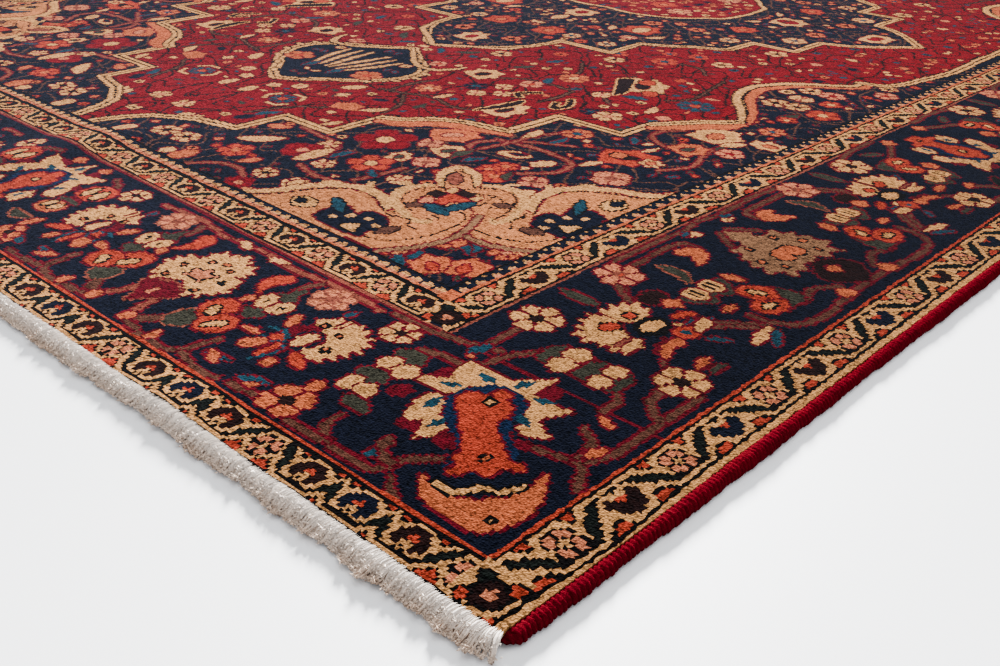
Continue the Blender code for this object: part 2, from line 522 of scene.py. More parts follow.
    def poppy(self, spot: Spot, size: float = 1.0) -> None:
        """A pair of orange flowers with ivory hearts on an olive leaf."""
        whole = Spot(spot.u, spot.v, spot.turn, size)
        self.chart.shape(
            whole.put([(-26.0, -6.0), (-8.0, -34.0), (4.0, -40.0), (14.0, -30.0), (26.0, -6.0),
                       (0.0, 4.0)]),
            Wool.OLIVE, Wool.MAROON,
        )
        for sign in (-1.0, 1.0):
            u, v = whole.put([(sign * 14.0, 2.0)])[0]
            one = Spot(u, v, spot.turn + 28.0 * sign, size)
            self.bud(one, 40.0, 31.0, Wool.ORANGE, Wool.MAROON)
            self.bud(one, 19.0, 8.5, Wool.IVORY, Wool.BLACK)

    def sprig(self, spot: Spot, wool: Wool, size: float = 1.0, leaf: Wool = Wool.OLIVE) -> None:
        """A small three-petalled flower with two leaves."""
        whole = Spot(spot.u, spot.v, spot.turn, size)
        for sign in (-1.0, 1.0):
            u, v = whole.put([(0.0, -9.0)])[0]
            self.leaf(Spot(u, v, spot.turn + 62.0 * sign, size), 22.0, 8.0, leaf)
        petals = [(-3.0, -10.0), (-12.0, 0.0), (-7.0, 7.0), (-2.5, 5.0), (0.0, 14.0), (2.5, 5.0),
                  (7.0, 7.0), (12.0, 0.0), (3.0, -10.0)]
        self.chart.shape(whole.put(petals), wool, Wool.MAROON, smooth=False)


# One half flower of the guard stripe, from the middle of a dark flower to the middle of a pink one. Each
# line is one row of knots, from the stripe's inner line outwards. The sides' drawing is longer than the
# ends', and "b" is whichever dark wool the flower is knotted in.
SIDE_GUARD = (
    "ikkioobbbbi", "ikiiobbbbbi", "ikiibbbbbii", "iiibbbbbbii", "ikibbbbbiii", "ikiibbiiiik", "ikkiiiiikoo",
    "ikgkiiiikoo", "ikggkiiikoo", "iikggkiikoo", "iiikggkiiko", "kiikggkiikk", "okiikggkiik", "ookiikggkii",
    "ookiiikggki", "kiiiiiiikki", "iiikkikkkki", "iikppkppkki", "ikpppkpppki", "ikppkikppki", "ikkkiiikkki",
)
END_GUARD = (
    "ibbooiikiki", "ibbbobiikki", "ibbbbbbbiki", "kibbbbbbiki", "kiibbbbiiki", "okiiiiiikki", "okiiikggkii",
    "kiikgggkiik", "iikgggkiiko", "ikggkiiikoo", "kggkiiikooo", "kkiikkiikoo", "iikppkkiiko", "ikpppkppkii",
    "ikppkkpppki", "iikkiiikkki",
)


def letter_rows(drawing: Sequence[str]) -> Array:
    """Turn lines of letters into an array of wools."""
    return np.array([[int(LETTERS[letter]) for letter in line] for line in drawing])


def navy_flower(rows: Array) -> Array:
    """The same rows with their dark flower knotted in navy."""
    return np.where(rows == int(Wool.BROWN), int(Wool.NAVY), rows)


def side_repeat() -> Array:
    """The side's repeat: pink, brown, pink and navy flowers."""
    half = letter_rows(SIDE_GUARD)
    flower = np.vstack([half[:0:-1], half[:-1]])
    return np.vstack([flower, navy_flower(flower)])


def end_repeat() -> Array:
    """The outer end's repeat: a pink flower and three dark ones, the middle one navy."""
    half = letter_rows(END_GUARD)
    opening, closing = half[:8], half[8:0:-1]
    return np.vstack([half[:0:-1], opening, navy_flower(closing), navy_flower(opening), closing, half[:-1]])


def inner_end_repeat() -> Array:
    """The inner end's repeat: a pink flower and a dark one."""
    half = letter_rows(END_GUARD)
    return np.vstack([half[:0:-1], half[:-1]])


@dataclass
class GuardStripe:
    """A narrow ivory stripe of dark and pink flowers between slanting leaves, turning at the corner."""

    chart: Chart
    inner_u: float               # its inner line on the side
    inner_v: float               # its inner line on the end
    side: Array                  # repeats, one line for each knot along
    end: Array
    side_shift: int = 0
    end_shift: int = 0
    width: int = 13              # knots across, with both lines

    def run(self, repeat: Array, distance: Array, along: Array) -> Array:
        """Wools of a straight run of the stripe.

        Args:
            repeat: The drawing.
            distance: Knots outwards from the inner line.
            along: Knots along the stripe.

        Returns:
            The wool numbers, for every knot of the chart.
        """
        wools = repeat[along % len(repeat), np.clip(distance - 1, 0, repeat.shape[1] - 1)]
        return np.where((distance == 0) | (distance == self.width - 1), int(Wool.BLACK), wools)

    def draw(self) -> None:
        """Knot both runs, and the flower that fills the corner."""
        chart = self.chart
        row, column = np.indices(chart.knots.shape)
        from_side = column - round(self.inner_u / chart.step_u)
        from_end = row - round(self.inner_v / chart.step_v)
        on_side = (from_side >= 0) & (from_side < self.width) & (from_end < self.width)
        on_end = (from_end >= 0) & (from_end < self.width) & (from_side < 0)
        side = self.run(self.side, from_side, row - self.side_shift)
        end = self.run(self.end, from_end, column - self.end_shift)
        chart.knots[on_side] = side[on_side]
        chart.knots[on_end] = end[on_end]
        self.corner()

    def corner(self) -> None:
        """An ivory square with a dark flower on a leaf across it and two orange petals beside it."""
        chart, motifs = self.chart, Motifs(self.chart)
        size = self.width * chart.step_u
        u, v = self.inner_u, self.inner_v
        square = (
            (chart.flat_u > u - 2.0) & (chart.flat_u < u + size - 4.0)
            & (chart.flat_v > v - 2.0) & (chart.flat_v < v + size - 4.0)
        )
        chart.band(square, Wool.IVORY)
        motifs.leaf(Spot(u + 5.0, v + 5.0, 135.0), 17.0, 9.0, Wool.GREEN, Wool.BLACK)
        chart.stroke([(u + 4, v + 26), (u + 10, v + 36), (u + 24, v + 38)], 1.0, None, Wool.BLACK)
        chart.stroke([(u + 26, v + 4), (u + 36, v + 10), (u + 38, v + 22)], 1.0, None, Wool.BLACK)
        motifs.bud(Spot(u + size - 9.0, v + 8.0), 10.0, 11.0, Wool.ORANGE, Wool.BLACK)
        motifs.bud(Spot(u + 9.0, v + size - 9.0), 10.0, 11.0, Wool.ORANGE, Wool.BLACK)
        motifs.flower(Spot(u + 22.0, v + 22.0, 135.0), 12.5, Wool.BROWN, Wool.PINK, 5, Wool.BLACK)


@dataclass
class Borders:
    """Everything round the inner field: guard stripes, the small dotted stripe and the wide navy border."""

    chart: Chart
    dotted_u: float = 700.0
    dotted_v: float = 1312.0
    inner_u: float = 715.5
    inner_v: float = 1333.0
    main_u: float = 760.0
    main_v: float = 1376.0
    outer_u: float = 984.0
    outer_v: float = 1566.0

    def beyond(self, u: float, v: float) -> Array:
        """Knots outside a line that runs up the side and round the corner."""
        return (self.chart.flat_u >= u) | (self.chart.flat_v >= v)

    def draw(self) -> None:
        """Knot the borders from the inside out."""
        chart = self.chart
        self.dots()
        GuardStripe(
            chart, self.inner_u, self.inner_v, side_repeat(), inner_end_repeat(),
            side_shift=46, end_shift=23,
        ).draw()
        chart.band(self.beyond(self.main_u - KNOT, self.main_v - KNOT), Wool.ROSE)
        chart.band(self.beyond(self.main_u, self.main_v), Wool.NAVY)
        self.main_border()
        chart.band(self.beyond(self.outer_u, self.outer_v - 1.0), Wool.ORANGE)
        chart.band(self.beyond(self.outer_u + KNOT, self.outer_v + 2.2), Wool.IVORY)
        GuardStripe(
            chart, self.outer_u + KNOT, self.outer_v + 2.2, side_repeat(), end_repeat(),
            side_shift=35, end_shift=-2,
        ).draw()

    def dots(self) -> None:
        """The small dotted stripe.

        Up the side peach and pink flower heads stand on a peach line. Along the end they are pink and
        ivory with navy between, over a peach, a black and an ivory line.
        """
        chart = self.chart
        chart.band(self.beyond(self.dotted_u - 4.0, self.dotted_v - 3.0), Wool.BLACK)
        row, column = np.indices(chart.knots.shape)
        from_side = column - round(self.dotted_u / chart.step_u)
        from_end = row - round(self.dotted_v / chart.step_v)
        side = letter_rows(("nnipeee", "nippeee", "nnipeee", "nnnneee", "innneee", "nnnneee", "nnnneee"))
        end = letter_rows(("nnipeki", "niippki", "niippki", "nnipeki", "nnnneki"))
        for repeat, away, along, other in ((end, from_end, column, from_side),
                                           (side, from_side, row, from_end)):
            wools = repeat[along % len(repeat), np.clip(away, 0, repeat.shape[1] - 1)]
            inside = (away >= 0) & (away < 8) & (other < 5)
            chart.knots[inside] = wools[inside]
        chart.band((chart.flat_u > self.dotted_u) & (chart.flat_v > self.dotted_v), Wool.PEACH)

    def main_border(self) -> None:
        """The wide border: the repeats up the side, then those along the end and the corner."""
        palmettes = ((1003.0, 1.0), (1003.0, -1.0), (0.0, 1.15))
        spools = ((532.0, 1.0), (532.0, -1.1))
        for centre, mirror in palmettes:
            self.side_stems(centre, mirror)
            self.side_flowers(centre, mirror)
        for centre, mirror in spools:
            self.spool_side(centre, mirror)
        for centre in (0.0, 1003.0):
            self.great_palmette(centre)
        self.spool(Spot(868.0, 535.0, 270.0))
        for centre, towards in ((1251.0, -1.0), (752.0, 1.0), (292.0, -1.0)):
            self.toothed_palmette(centre, towards)
        chart = self.chart
        for start, wool in ((-3.0, Wool.ROSE), (1.0, Wool.MAROON), (5.0, Wool.NAVY)):
            chart.band((chart.flat_v > self.main_v + start) & (chart.flat_v < self.outer_v)
                       & (chart.flat_u < self.outer_u), wool)
        chart.band((chart.flat_u > self.main_u) & (chart.flat_u < self.outer_u) & (chart.v > 1306.0)
                   & (chart.flat_v < self.main_v), Wool.NAVY)
        for centre, mirror in ((515.0, 1.0), (515.0, -1.0), (-155.0, 1.0)):
            self.end_stems(centre, mirror)
        for centre, mirror in ((515.0, -1.0), (-155.0, 1.0), (515.0, 1.0)):
            self.end_flowers(centre, mirror)
        self.double_pairs(180.0, 1.0)
        self.double_pairs(180.0, -1.0)
        self.spool(Spot(180.0, 1450.0, 180.0))
        self.corner_stems()
        self.corner_unit()

    def side_stems(self, centre: float, mirror: float) -> None:
        """Stems of one half repeat up the side, which spreads from its centre by mirror."""
        motifs, at = Motifs(self.chart), SideRepeat(centre, mirror).places
        motifs.vine(*at((765, 0), (771, 30), (768, 90), (770, 150), (780, 165)))
        motifs.vine(*at((788, 165), (786, 120), (786, 70), (795, 58), (812, 62)))
        motifs.vine(*at((965, 0), (968, 40), (972, 100), (966, 135), (945, 150), (925, 152)))
        motifs.vine(*at((952, 35), (938, 62), (945, 90), (940, 100)), width=6.0)
        motifs.vine(*at((800, 8), (815, 20), (826, 28)), width=6.0)
        motifs.vine(*at((900, 198), (925, 175), (945, 160)), width=6.0)
        motifs.vine(*at((805, 185), (830, 205), (850, 215)), width=6.0)

    def side_flowers(self, centre: float, mirror: float) -> None:
        """Flowers and leaves of one half repeat up the side."""
        motifs, half = Motifs(self.chart), SideRepeat(centre, mirror)
        at = half.spot
        motifs.poppy(at(917, 112, -35), 0.98)
        motifs.leaf(at(850, 136, -100), 50.0, 14.0, Wool.OLIVE, Wool.ROSE, bend=9.0)
        motifs.pair(at(866, 138, -90), 46.0, 26.0, Wool.IVORY, slots=2)
        hook = half.places((795, 82), (800, 65), (815, 60), (828, 72), (832, 95), (822, 88), (812, 82),
                           (805, 90))
        motifs.chart.shape(hook, Wool.PEACH, Wool.MAROON)
        motifs.bud(at(871, 94, 100), 24.0, 13.0, Wool.PEACH)
        motifs.flower(at(964, 43), 10.0, Wool.PEACH, Wool.PEACH, 4)
        motifs.bud(at(784, 32, -20), 18.0, 13.0, Wool.IVORY)
        motifs.leaf(at(775, 30, 20), 18.0, 9.0, Wool.TEAL)

    def great_palmette(self, centre: float) -> None:
        """The large eight-lobed palmette of the side, with ringed dots and a peach heart."""
        motifs = Motifs(self.chart)
        motifs.leaf(Spot(905, centre, 90), 60.0, 62.0, Wool.BROWN, Wool.MAROON)
        motifs.flower(Spot(928, centre), 8.0, Wool.PEACH, Wool.PEACH, 4)
        outline = [(800, 2), (822, -16), (828, -12), (838, -20), (832, -40), (848, -38), (852, -52),
                   (862, -46), (870, -58), (880, -50), (890, -62), (897, -44), (915, -48), (905, -34),
                   (912, -24), (900, -12), (905, 0)]
        lower = [(u, -v) for u, v in outline[::-1]][1:-1]
        self.chart.shape([(u, centre + v) for u, v in outline + lower], Wool.TAN, Wool.MAROON, smooth=False)
        for u, v in ((846, 23), (871, 40), (893, 32), (846, -23), (871, -40), (893, -32)):
            motifs.eye(u, centre + v, 6.0, Wool.PEACH)
        self.chart.shape(
            [(868, centre - 16), (884, centre - 20), (890, centre - 6), (880, centre), (890, centre + 8),
             (884, centre + 20), (868, centre + 16), (864, centre)], Wool.PEACH, Wool.BLACK,
        )

    def toothed_palmette(self, centre: float, towards: float) -> None:
        """The half-open palmette of the side: a large and a small toothed ivory comb about a bud.

        Args:
            centre: Where it stands.
            towards: Sign of the way to the nearest great palmette, where its small comb is.
        """
        chart, motifs, half = self.chart, Motifs(self.chart), SideRepeat(centre, towards)
        at, place = half.spot, half.places
        motifs.vine(*place((800, 62), (815, 50), (832, 40)))
        motifs.vine(*place((905, 38), (922, 62), (946, 82)), width=5.0)
        motifs.bud(at(843, 62), 30.0, 26.0, Wool.BROWN, Wool.MAROON)
        chart.shape(
            place((832, -2), (818, -8), (830, -14), (820, -22), (832, -26), (826, -36), (838, -34),
                  (834, -48), (846, -43), (850, -54), (858, -42), (866, -50), (870, -38), (876, -52),
                  (882, -38), (890, -46), (891, -24), (884, -14), (873, -17), (862, -10),
                  (852, -2)), Wool.IVORY, Wool.MAROON, smooth=False,
        )
        chart.shape(
            place((832, 2), (820, 6), (830, 12), (821, 20), (832, 24), (828, 34), (838, 32), (840, 44),
                  (848, 36), (854, 42), (860, 30), (862, 14),
                  (852, 2)), Wool.IVORY, Wool.MAROON, smooth=False,
        )
        motifs.bud(at(849, -13, 20), 20.0, 13.0, Wool.ORANGE, Wool.BLACK)
        motifs.bud(at(850, 17, -20), 13.0, 11.0, Wool.ORANGE, Wool.BLACK)
        chart.stroke(place((874, -22), (874, -38)), 4.0, Wool.ROSE, Wool.MAROON)
        chart.rule(Spot(876, centre + 14.0 * towards), 30.0,
                   lambda x, y: (x / 16.0) ** 2 + (y / 20.0) ** 2 < 1.0, Wool.BLACK)
        motifs.bud(at(875, 14, 4), 27.0, 17.0, Wool.IVORY, Wool.BLACK)
        motifs.bud(at(892, 34), 10.0, 9.0, Wool.IVORY)
        motifs.flower(at(903, 26), 12.0, Wool.ORANGE, Wool.TEAL, 4)
        motifs.leaf(at(922, 30, 60), 20.0, 8.0, Wool.TEAL)
        motifs.bud(at(882, 52, 25), 24.0, 10.0, Wool.ORANGE)
        motifs.leaf(at(893, 38, 20), 32.0, 7.0, Wool.TEAL, Wool.MAROON)
        motifs.flower(at(862, 65), 10.0, Wool.PEACH, Wool.PEACH, 4)
        motifs.bud(at(906, 48, -10), 28.0, 13.0, Wool.IVORY)
        chart.stroke(place((908, 6), (907, -6), (911, -18), (917, -27)), [14.0, 10.0, 9.0, 5.0],
                     Wool.PEACH, Wool.MAROON)
        chart.stroke(place((896, 4), (899, -14), (905, -24)), 5.0, Wool.MAROON)
        motifs.vine(*place((917, -30), (926, -40), (932, -44)), width=4.0)
        motifs.leaf(at(770, 14, 93), 48.0, 15.0, Wool.OLIVE)
        motifs.bud(at(953, 70, -12), 38.0, 12.0, Wool.IVORY)
        motifs.leaf(at(972, 60, -28), 34.0, 9.0, Wool.TEAL)
        motifs.bud(at(905, 94, 0), 20.0, 10.0, Wool.PEACH)
        motifs.flower(at(795, -48), 24.5, Wool.IVORY, Wool.BROWN)
        motifs.flower(at(949, -49), 23.0, Wool.IVORY, Wool.BROWN)
        motifs.flower(at(791, 79), 24.0, Wool.PINK, Wool.ROSE, heart=Wool.ORANGE)
        motifs.bud(at(943, -10, 170), 24.0, 9.0, Wool.PEACH)
        motifs.leaf(at(957, -20, 0), 24.0, 8.0, Wool.OLIVE)

    def spool(self, spot: Spot) -> None:
        """An orange spool with a ringed eye, held in a star of ivory leaves; its foot points forward."""
        chart, motifs = self.chart, Motifs(self.chart)

        def both(points: Sequence[Place]) -> list[Place]:
            """Half an outline and its mirror image, moved to the spot."""
            return spot.put([*points, *((-x, y) for x, y in points[::-1] if x > 0.0)])

        for x, y in ((30, -50), (-30, -50), (52, -16), (-52, -16)):
            u, v = spot.put([(x, y)])[0]
            motifs.bud(Spot(u, v), 20.0, 20.0, Wool.MAROON, None)
        star = both([(0, -74), (9, -50), (14, -43), (54, -56), (50, -38), (42, -28), (60, -2), (62, 15),
                     (46, 16), (35, -4), (27, -24), (14, -35), (0, -36)])
        chart.shape(star, Wool.IVORY, Wool.MAROON, smooth=False)
        for sign in (-1.0, 1.0):
            leaf = [(32, 18), (46, 28), (42, 54), (34, 46), (28, 52), (24, 34)]
            chart.shape(spot.put([(sign * x, y) for x, y in leaf]), Wool.IVORY, Wool.MAROON, smooth=False)
            for x, y, turn, length in ((32, -36, 120, 20.0), (45, -12, 155, 18.0), (33, 26, 170, 16.0)):
                u, v = spot.put([(sign * x, y)])[0]
                motifs.leaf(Spot(u, v, spot.turn - 180.0 + sign * turn), length, 8.0, Wool.TEAL, None)
        u, v = spot.put([(0.0, -44.0)])[0]
        motifs.leaf(Spot(u, v, spot.turn + 180.0), 20.0, 9.0, Wool.TEAL, None)
        chart.shape(both([(0, -40), (18, -32), (28, -14), (28, 16), (18, 28), (17, 48), (0, 52)]),
                    Wool.BLUE)
        body = both([(7, -31), (9, -19), (18, -18), (21, -4), (19, 10), (11, 20), (10, 36), (12, 46),
                     (28, 49), (28, 54), (13, 60), (12, 72), (0, 74)])
        chart.shape(body, Wool.ORANGE, Wool.MAROON, smooth=False)
        motifs.eye(spot.u, spot.v, 7.0)
        u, v = spot.put([(0.0, 58.0)])[0]
        motifs.eye(u, v, 5.2, Wool.PEACH)

    def spool_side(self, centre: float, mirror: float) -> None:
        """Flowers of one half of the side's spool repeat, from the spool out by mirror."""
        motifs, half = Motifs(self.chart), SideRepeat(centre, mirror)
        at, place = half.spot, half.places
        motifs.vine(*place((973, -10), (974, 40), (972, 110), (968, 160)))
        motifs.vine(*place((768, 60), (766, 110), (772, 150), (785, 170)))
        motifs.vine(*place((785, 45), (800, 70), (812, 95), (822, 110)))
        motifs.vine(*place((972, 100), (945, 110), (930, 128)))
        motifs.poppy(at(838, 120, 150), 0.9)
        motifs.pair(at(884, 124, -80), 44.0, 25.0, Wool.IVORY, slots=2)
        motifs.flower(at(862, 92), 11.0, Wool.PEACH, Wool.ORANGE, 4)
        motifs.flower(at(792, 178), 22.0, Wool.PINK, Wool.ROSE, heart=Wool.ORANGE)
        motifs.flower(at(785, 46), 10.0, Wool.PEACH, Wool.PEACH, 4)
        motifs.flower(at(949, 172), 22.0, Wool.IVORY, Wool.BROWN)
        motifs.leaf(at(935, 70, 30), 36.0, 12.0, Wool.GREEN)
        motifs.bud(at(926, 128, 20), 22.0, 11.0, Wool.PEACH)
        motifs.leaf(at(800, 95, -30), 34.0, 11.0, Wool.OLIVE)
        motifs.flower(at(950, 30), 14.0, Wool.PINK, Wool.ROSE, 6)
        motifs.bud(at(905, 165, 10), 26.0, 11.0, Wool.PEACH)
        motifs.leaf(at(846, 158, 30), 28.0, 10.0, Wool.TEAL)

    def end_stems(self, centre: float, mirror: float) -> None:
        """Stems of one half repeat along the end."""
        motifs, at = Motifs(self.chart), EndRepeat(centre, mirror).places
        motifs.vine(*at((0, 1386), (60, 1390), (110, 1384), (172, 1388)), wool=Wool.ROSE)
        motifs.vine(*at((15, 1505), (20, 1530), (30, 1552)), width=8.0, wool=Wool.ROSE)
        motifs.vine(*at((62, 1515), (48, 1540), (30, 1553)), width=10.0, wool=Wool.VINE)
        motifs.vine(*at((30, 1556), (75, 1562), (110, 1556), (118, 1520)), wool=Wool.VINE)
        motifs.vine(*at((118, 1556), (150, 1562), (172, 1560)), wool=Wool.VINE)
        motifs.vine(*at((95, 1392), (90, 1405), (92, 1425)), width=7.0)

    def end_flowers(self, centre: float, mirror: float) -> None:
        """Flowers of one half repeat along the end, from its palmette to the fan."""
        chart, motifs, half = self.chart, Motifs(self.chart), EndRepeat(centre, mirror)
        at, place = half.spot, half.places
        motifs.bud(at(26, 1389, 75), 24.0, 10.0, Wool.IVORY)
        chart.shape(
            place((66, 1401), (55, 1406), (50, 1418), (54, 1432), (62, 1440), (72, 1447), (66, 1432),
                  (70, 1418), (74, 1408)), Wool.ORANGE, Wool.MAROON)
        motifs.flower(at(126, 1404), 20.5, Wool.PINK, Wool.ROSE, 7, Wool.ROSE)
        chart.shape(
            place((80, 1438), (90, 1424), (92, 1412), (98, 1412), (100, 1424), (112, 1436), (98, 1440)),
            Wool.OLIVE, Wool.MAROON)
        chart.shape(place((84, 1468), (96, 1482), (110, 1470), (98, 1460)), Wool.OLIVE, Wool.MAROON)
        for u, turn in ((88, -24), (108, 24)):
            motifs.bud(at(u, 1449, turn), 26.0, 19.0, Wool.IVORY)
            motifs.bud(at(u, 1449, turn), 13.0, 4.0, Wool.BLACK, None)
        motifs.bud(at(71, 1457, 10), 17.0, 9.0, Wool.PEACH)
        chart.shape(place((50, 1516), (58, 1536), (74, 1530), (82, 1512), (64, 1500)), Wool.OLIVE,
                    Wool.ROSE)
        motifs.bud(at(70, 1487, -18), 38.0, 34.0, Wool.ORANGE)
        motifs.bud(at(92, 1505, 30), 38.0, 34.0, Wool.ORANGE)
        motifs.bud(at(70, 1493, -24), 20.0, 9.0, Wool.IVORY, Wool.BLACK)
        motifs.bud(at(92, 1507, 35), 20.0, 9.0, Wool.IVORY, Wool.BLACK)
        motifs.bud(at(122, 1491, 80), 22.0, 9.0, Wool.PEACH)
        motifs.leaf(at(126, 1540, 80), 30.0, 10.0, Wool.TEAL)
        motifs.leaf(at(150, 1546, -60), 26.0, 10.0, Wool.PEACH)
        motifs.bud(at(28, 1552, 20), 17.0, 14.0, Wool.PEACH)
        motifs.bud(at(74, 1555, 0), 16.0, 10.0, Wool.PEACH)
        self.slant_fan(centre + mirror * 165.0, mirror)
        self.end_palmette(centre)

    def slant_fan(self, axis: float, facing: float) -> None:
        """The ivory comb that curls round a bud, with curls and buds on its other side.

        Args:
            axis: Place of its bud.
            facing: Sign of the side its teeth face.
        """
        chart, motifs, half = self.chart, Motifs(self.chart), EndRepeat(axis, facing)
        at, place = half.spot, half.places
        motifs.bud(at(-6, 1478), 66.0, 34.0, Wool.MAROON, None)
        comb = [(-18, 1437), (-8, 1430), (-4, 1420), (2, 1428), (8, 1418), (14, 1424), (20, 1417),
                (24, 1424), (34, 1420), (34, 1430), (46, 1428), (42, 1436), (55, 1438), (46, 1445),
                (55, 1452), (44, 1455), (54, 1464), (42, 1466), (50, 1476), (40, 1477), (44, 1487),
                (34, 1484), (32, 1497), (24, 1486), (14, 1482), (22, 1470), (19, 1459), (10, 1451),
                (2, 1448), (-8, 1448)]
        chart.shape(place(*comb), Wool.IVORY, Wool.MAROON, smooth=False)
        chart.stroke(place((6, 1422), (6, 1436)), 1.0, None, Wool.MAROON)
        for u, v in ((-3, 1442), (18, 1446), (30, 1469)):
            motifs.eye(axis + facing * u, v, 5.4, Wool.PEACH)
        chart.rule(at(4, 1470), 20.0, lambda x, y: (x / 13.0) ** 2 + (y / 19.0) ** 2 < 1.0, Wool.NAVY)
        motifs.bud(at(4, 1470), 28.0, 15.0, Wool.IVORY)
        motifs.bud(at(-30, 1456, -20), 24.0, 11.0, Wool.PEACH)
        motifs.bud(at(-16, 1482, 70), 15.0, 10.0, Wool.ORANGE)
        chart.stroke(place((-34, 1476), (-24, 1472), (-14, 1474), (-8, 1484), (-16, 1492), (-28, 1490)),
                     3.4, Wool.TEAL)
        motifs.bud(at(-24, 1503, 30), 24.0, 16.0, Wool.PEACH)
        motifs.bud(at(-5, 1502), 30.0, 7.0, Wool.ORANGE)
        chart.stroke(place((1, 1488), (2, 1505), (-4, 1522)), 3.4, Wool.TEAL)
        motifs.leaf(at(12, 1488, 120), 34.0, 12.0, Wool.ORANGE)
        motifs.bud(at(12, 1514), 15.0, 11.0, Wool.PEACH)
        motifs.leaf(at(12, 1546, 70), 34.0, 11.0, Wool.TEAL)
        motifs.bud(at(32, 1550, 20), 20.0, 10.0, Wool.PEACH)
        motifs.leaf(at(-4, 1404, 180), 16.0, 7.0, Wool.TEAL)

    def double_pairs(self, centre: float, mirror: float) -> None:
        """A rosette over two pairs of buds, beside the spool of the end."""
        motifs, half = Motifs(self.chart), EndRepeat(centre, mirror)
        at = half.spot
        motifs.vine(*half.places((60, 1386), (80, 1396), (84, 1410)))
        motifs.vine(*half.places((30, 1552), (80, 1560), (140, 1560)))
        motifs.flower(at(117, 1396), 17.0, Wool.IVORY, Wool.BROWN)
        motifs.bud(at(84, 1423), 44.0, 44.0, Wool.ORANGE)
        for step in (-10.0, 8.0):
            motifs.bud(at(84 + step, 1425, -12), 26.0, 11.0, Wool.IVORY, Wool.BLACK)
        motifs.leaf(at(66, 1455, 90), 38.0, 12.0, Wool.OLIVE)
        motifs.bud(at(84, 1476), 30.0, 36.0, Wool.PEACH)
        for step in (-8.0, 6.0):
            motifs.bud(at(84 + step, 1474), 18.0, 9.0, Wool.IVORY, Wool.BLACK)
        motifs.leaf(at(64, 1504, 90), 40.0, 14.0, Wool.OLIVE, Wool.ROSE, bend=8.0)
        motifs.bud(at(112, 1511, 10), 24.0, 11.0, Wool.PEACH)
        motifs.flower(at(122, 1540), 17.0, Wool.PEACH, Wool.BROWN, 4)
        motifs.flower(at(26, 1381), 8.0, Wool.PEACH, Wool.PEACH, 4)

    def end_palmette(self, centre: float) -> None:
        """The seven-lobed palmette of the end, standing on a dark red base."""
        chart, motifs = self.chart, Motifs(self.chart)
        chart.shape([(centre - 26, 1502), (centre, 1488), (centre + 26, 1502), (centre + 10, 1520),
                     (centre, 1536), (centre - 10, 1520)], Wool.MAROON, Wool.ROSE)
        half = [(0, 1398), (7, 1412), (11, 1408), (14, 1418), (26, 1412), (24, 1422), (34, 1424),
                (26, 1432), (36, 1434), (24, 1442), (44, 1442), (40, 1450), (52, 1452), (42, 1458),
                (54, 1464), (42, 1470), (46, 1478), (36, 1480), (38, 1490), (30, 1488), (26, 1500),
                (20, 1488), (8, 1484), (0, 1474)]
        outline = half + [(-u, v) for u, v in half[::-1]]
        chart.shape([(centre + u, v) for u, v in outline], Wool.IVORY, Wool.MAROON, smooth=False)
        for u, v in ((0, 1429), (15, 1436), (29, 1458), (25, 1483)):
            for sign in (-1.0, 1.0):
                motifs.eye(centre + sign * u, v, 5.2, Wool.PEACH)
        chart.shape([(centre - 17, 1452), (centre - 10, 1462), (centre - 12, 1470), (centre, 1466),
                     (centre + 12, 1470), (centre + 10, 1462), (centre + 17, 1452), (centre + 6, 1456),
                     (centre, 1446), (centre - 6, 1456)], Wool.PINK, Wool.BLACK, smooth=False)
        motifs.bud(Spot(centre, 1510), 14.0, 8.0, Wool.PINK)

    def corner_stems(self) -> None:
        """Stems of the corner block."""
        motifs = Motifs(self.chart)
        motifs.vine((972, 1308), (973, 1370), (972, 1420), (957, 1445), (920, 1456))
        motifs.vine((957, 1446), (968, 1452), (980, 1472))
        motifs.vine((957, 1440), (952, 1420), (940, 1412), (936, 1408), width=6.0)
        motifs.vine((945, 1325), (950, 1345), (968, 1360), width=7.0)
        motifs.vine((920, 1456), (905, 1462), (898, 1454), wool=Wool.MAROON, width=6.0)
        motifs.vine((795, 1320), (797, 1365))
        motifs.vine((700, 1382), (745, 1382), (785, 1374), (812, 1366))
        motifs.vine((815, 1402), (822, 1368), (838, 1342))
        motifs.vine((912, 1340), (930, 1360), (932, 1380), width=6.0)
        motifs.vine((765, 1412), (785, 1405), (805, 1404), width=7.0)
        motifs.vine((795, 1522), (797, 1540), (815, 1553), (845, 1556), (866, 1552), (872, 1530),
                    (888, 1512))
        motifs.vine((700, 1556), (745, 1552), (790, 1556), (815, 1554))
        motifs.vine((880, 1550), (890, 1560), (900, 1566), width=5.0)
        motifs.vine((845, 1520), (850, 1535), (866, 1540), width=8.0)

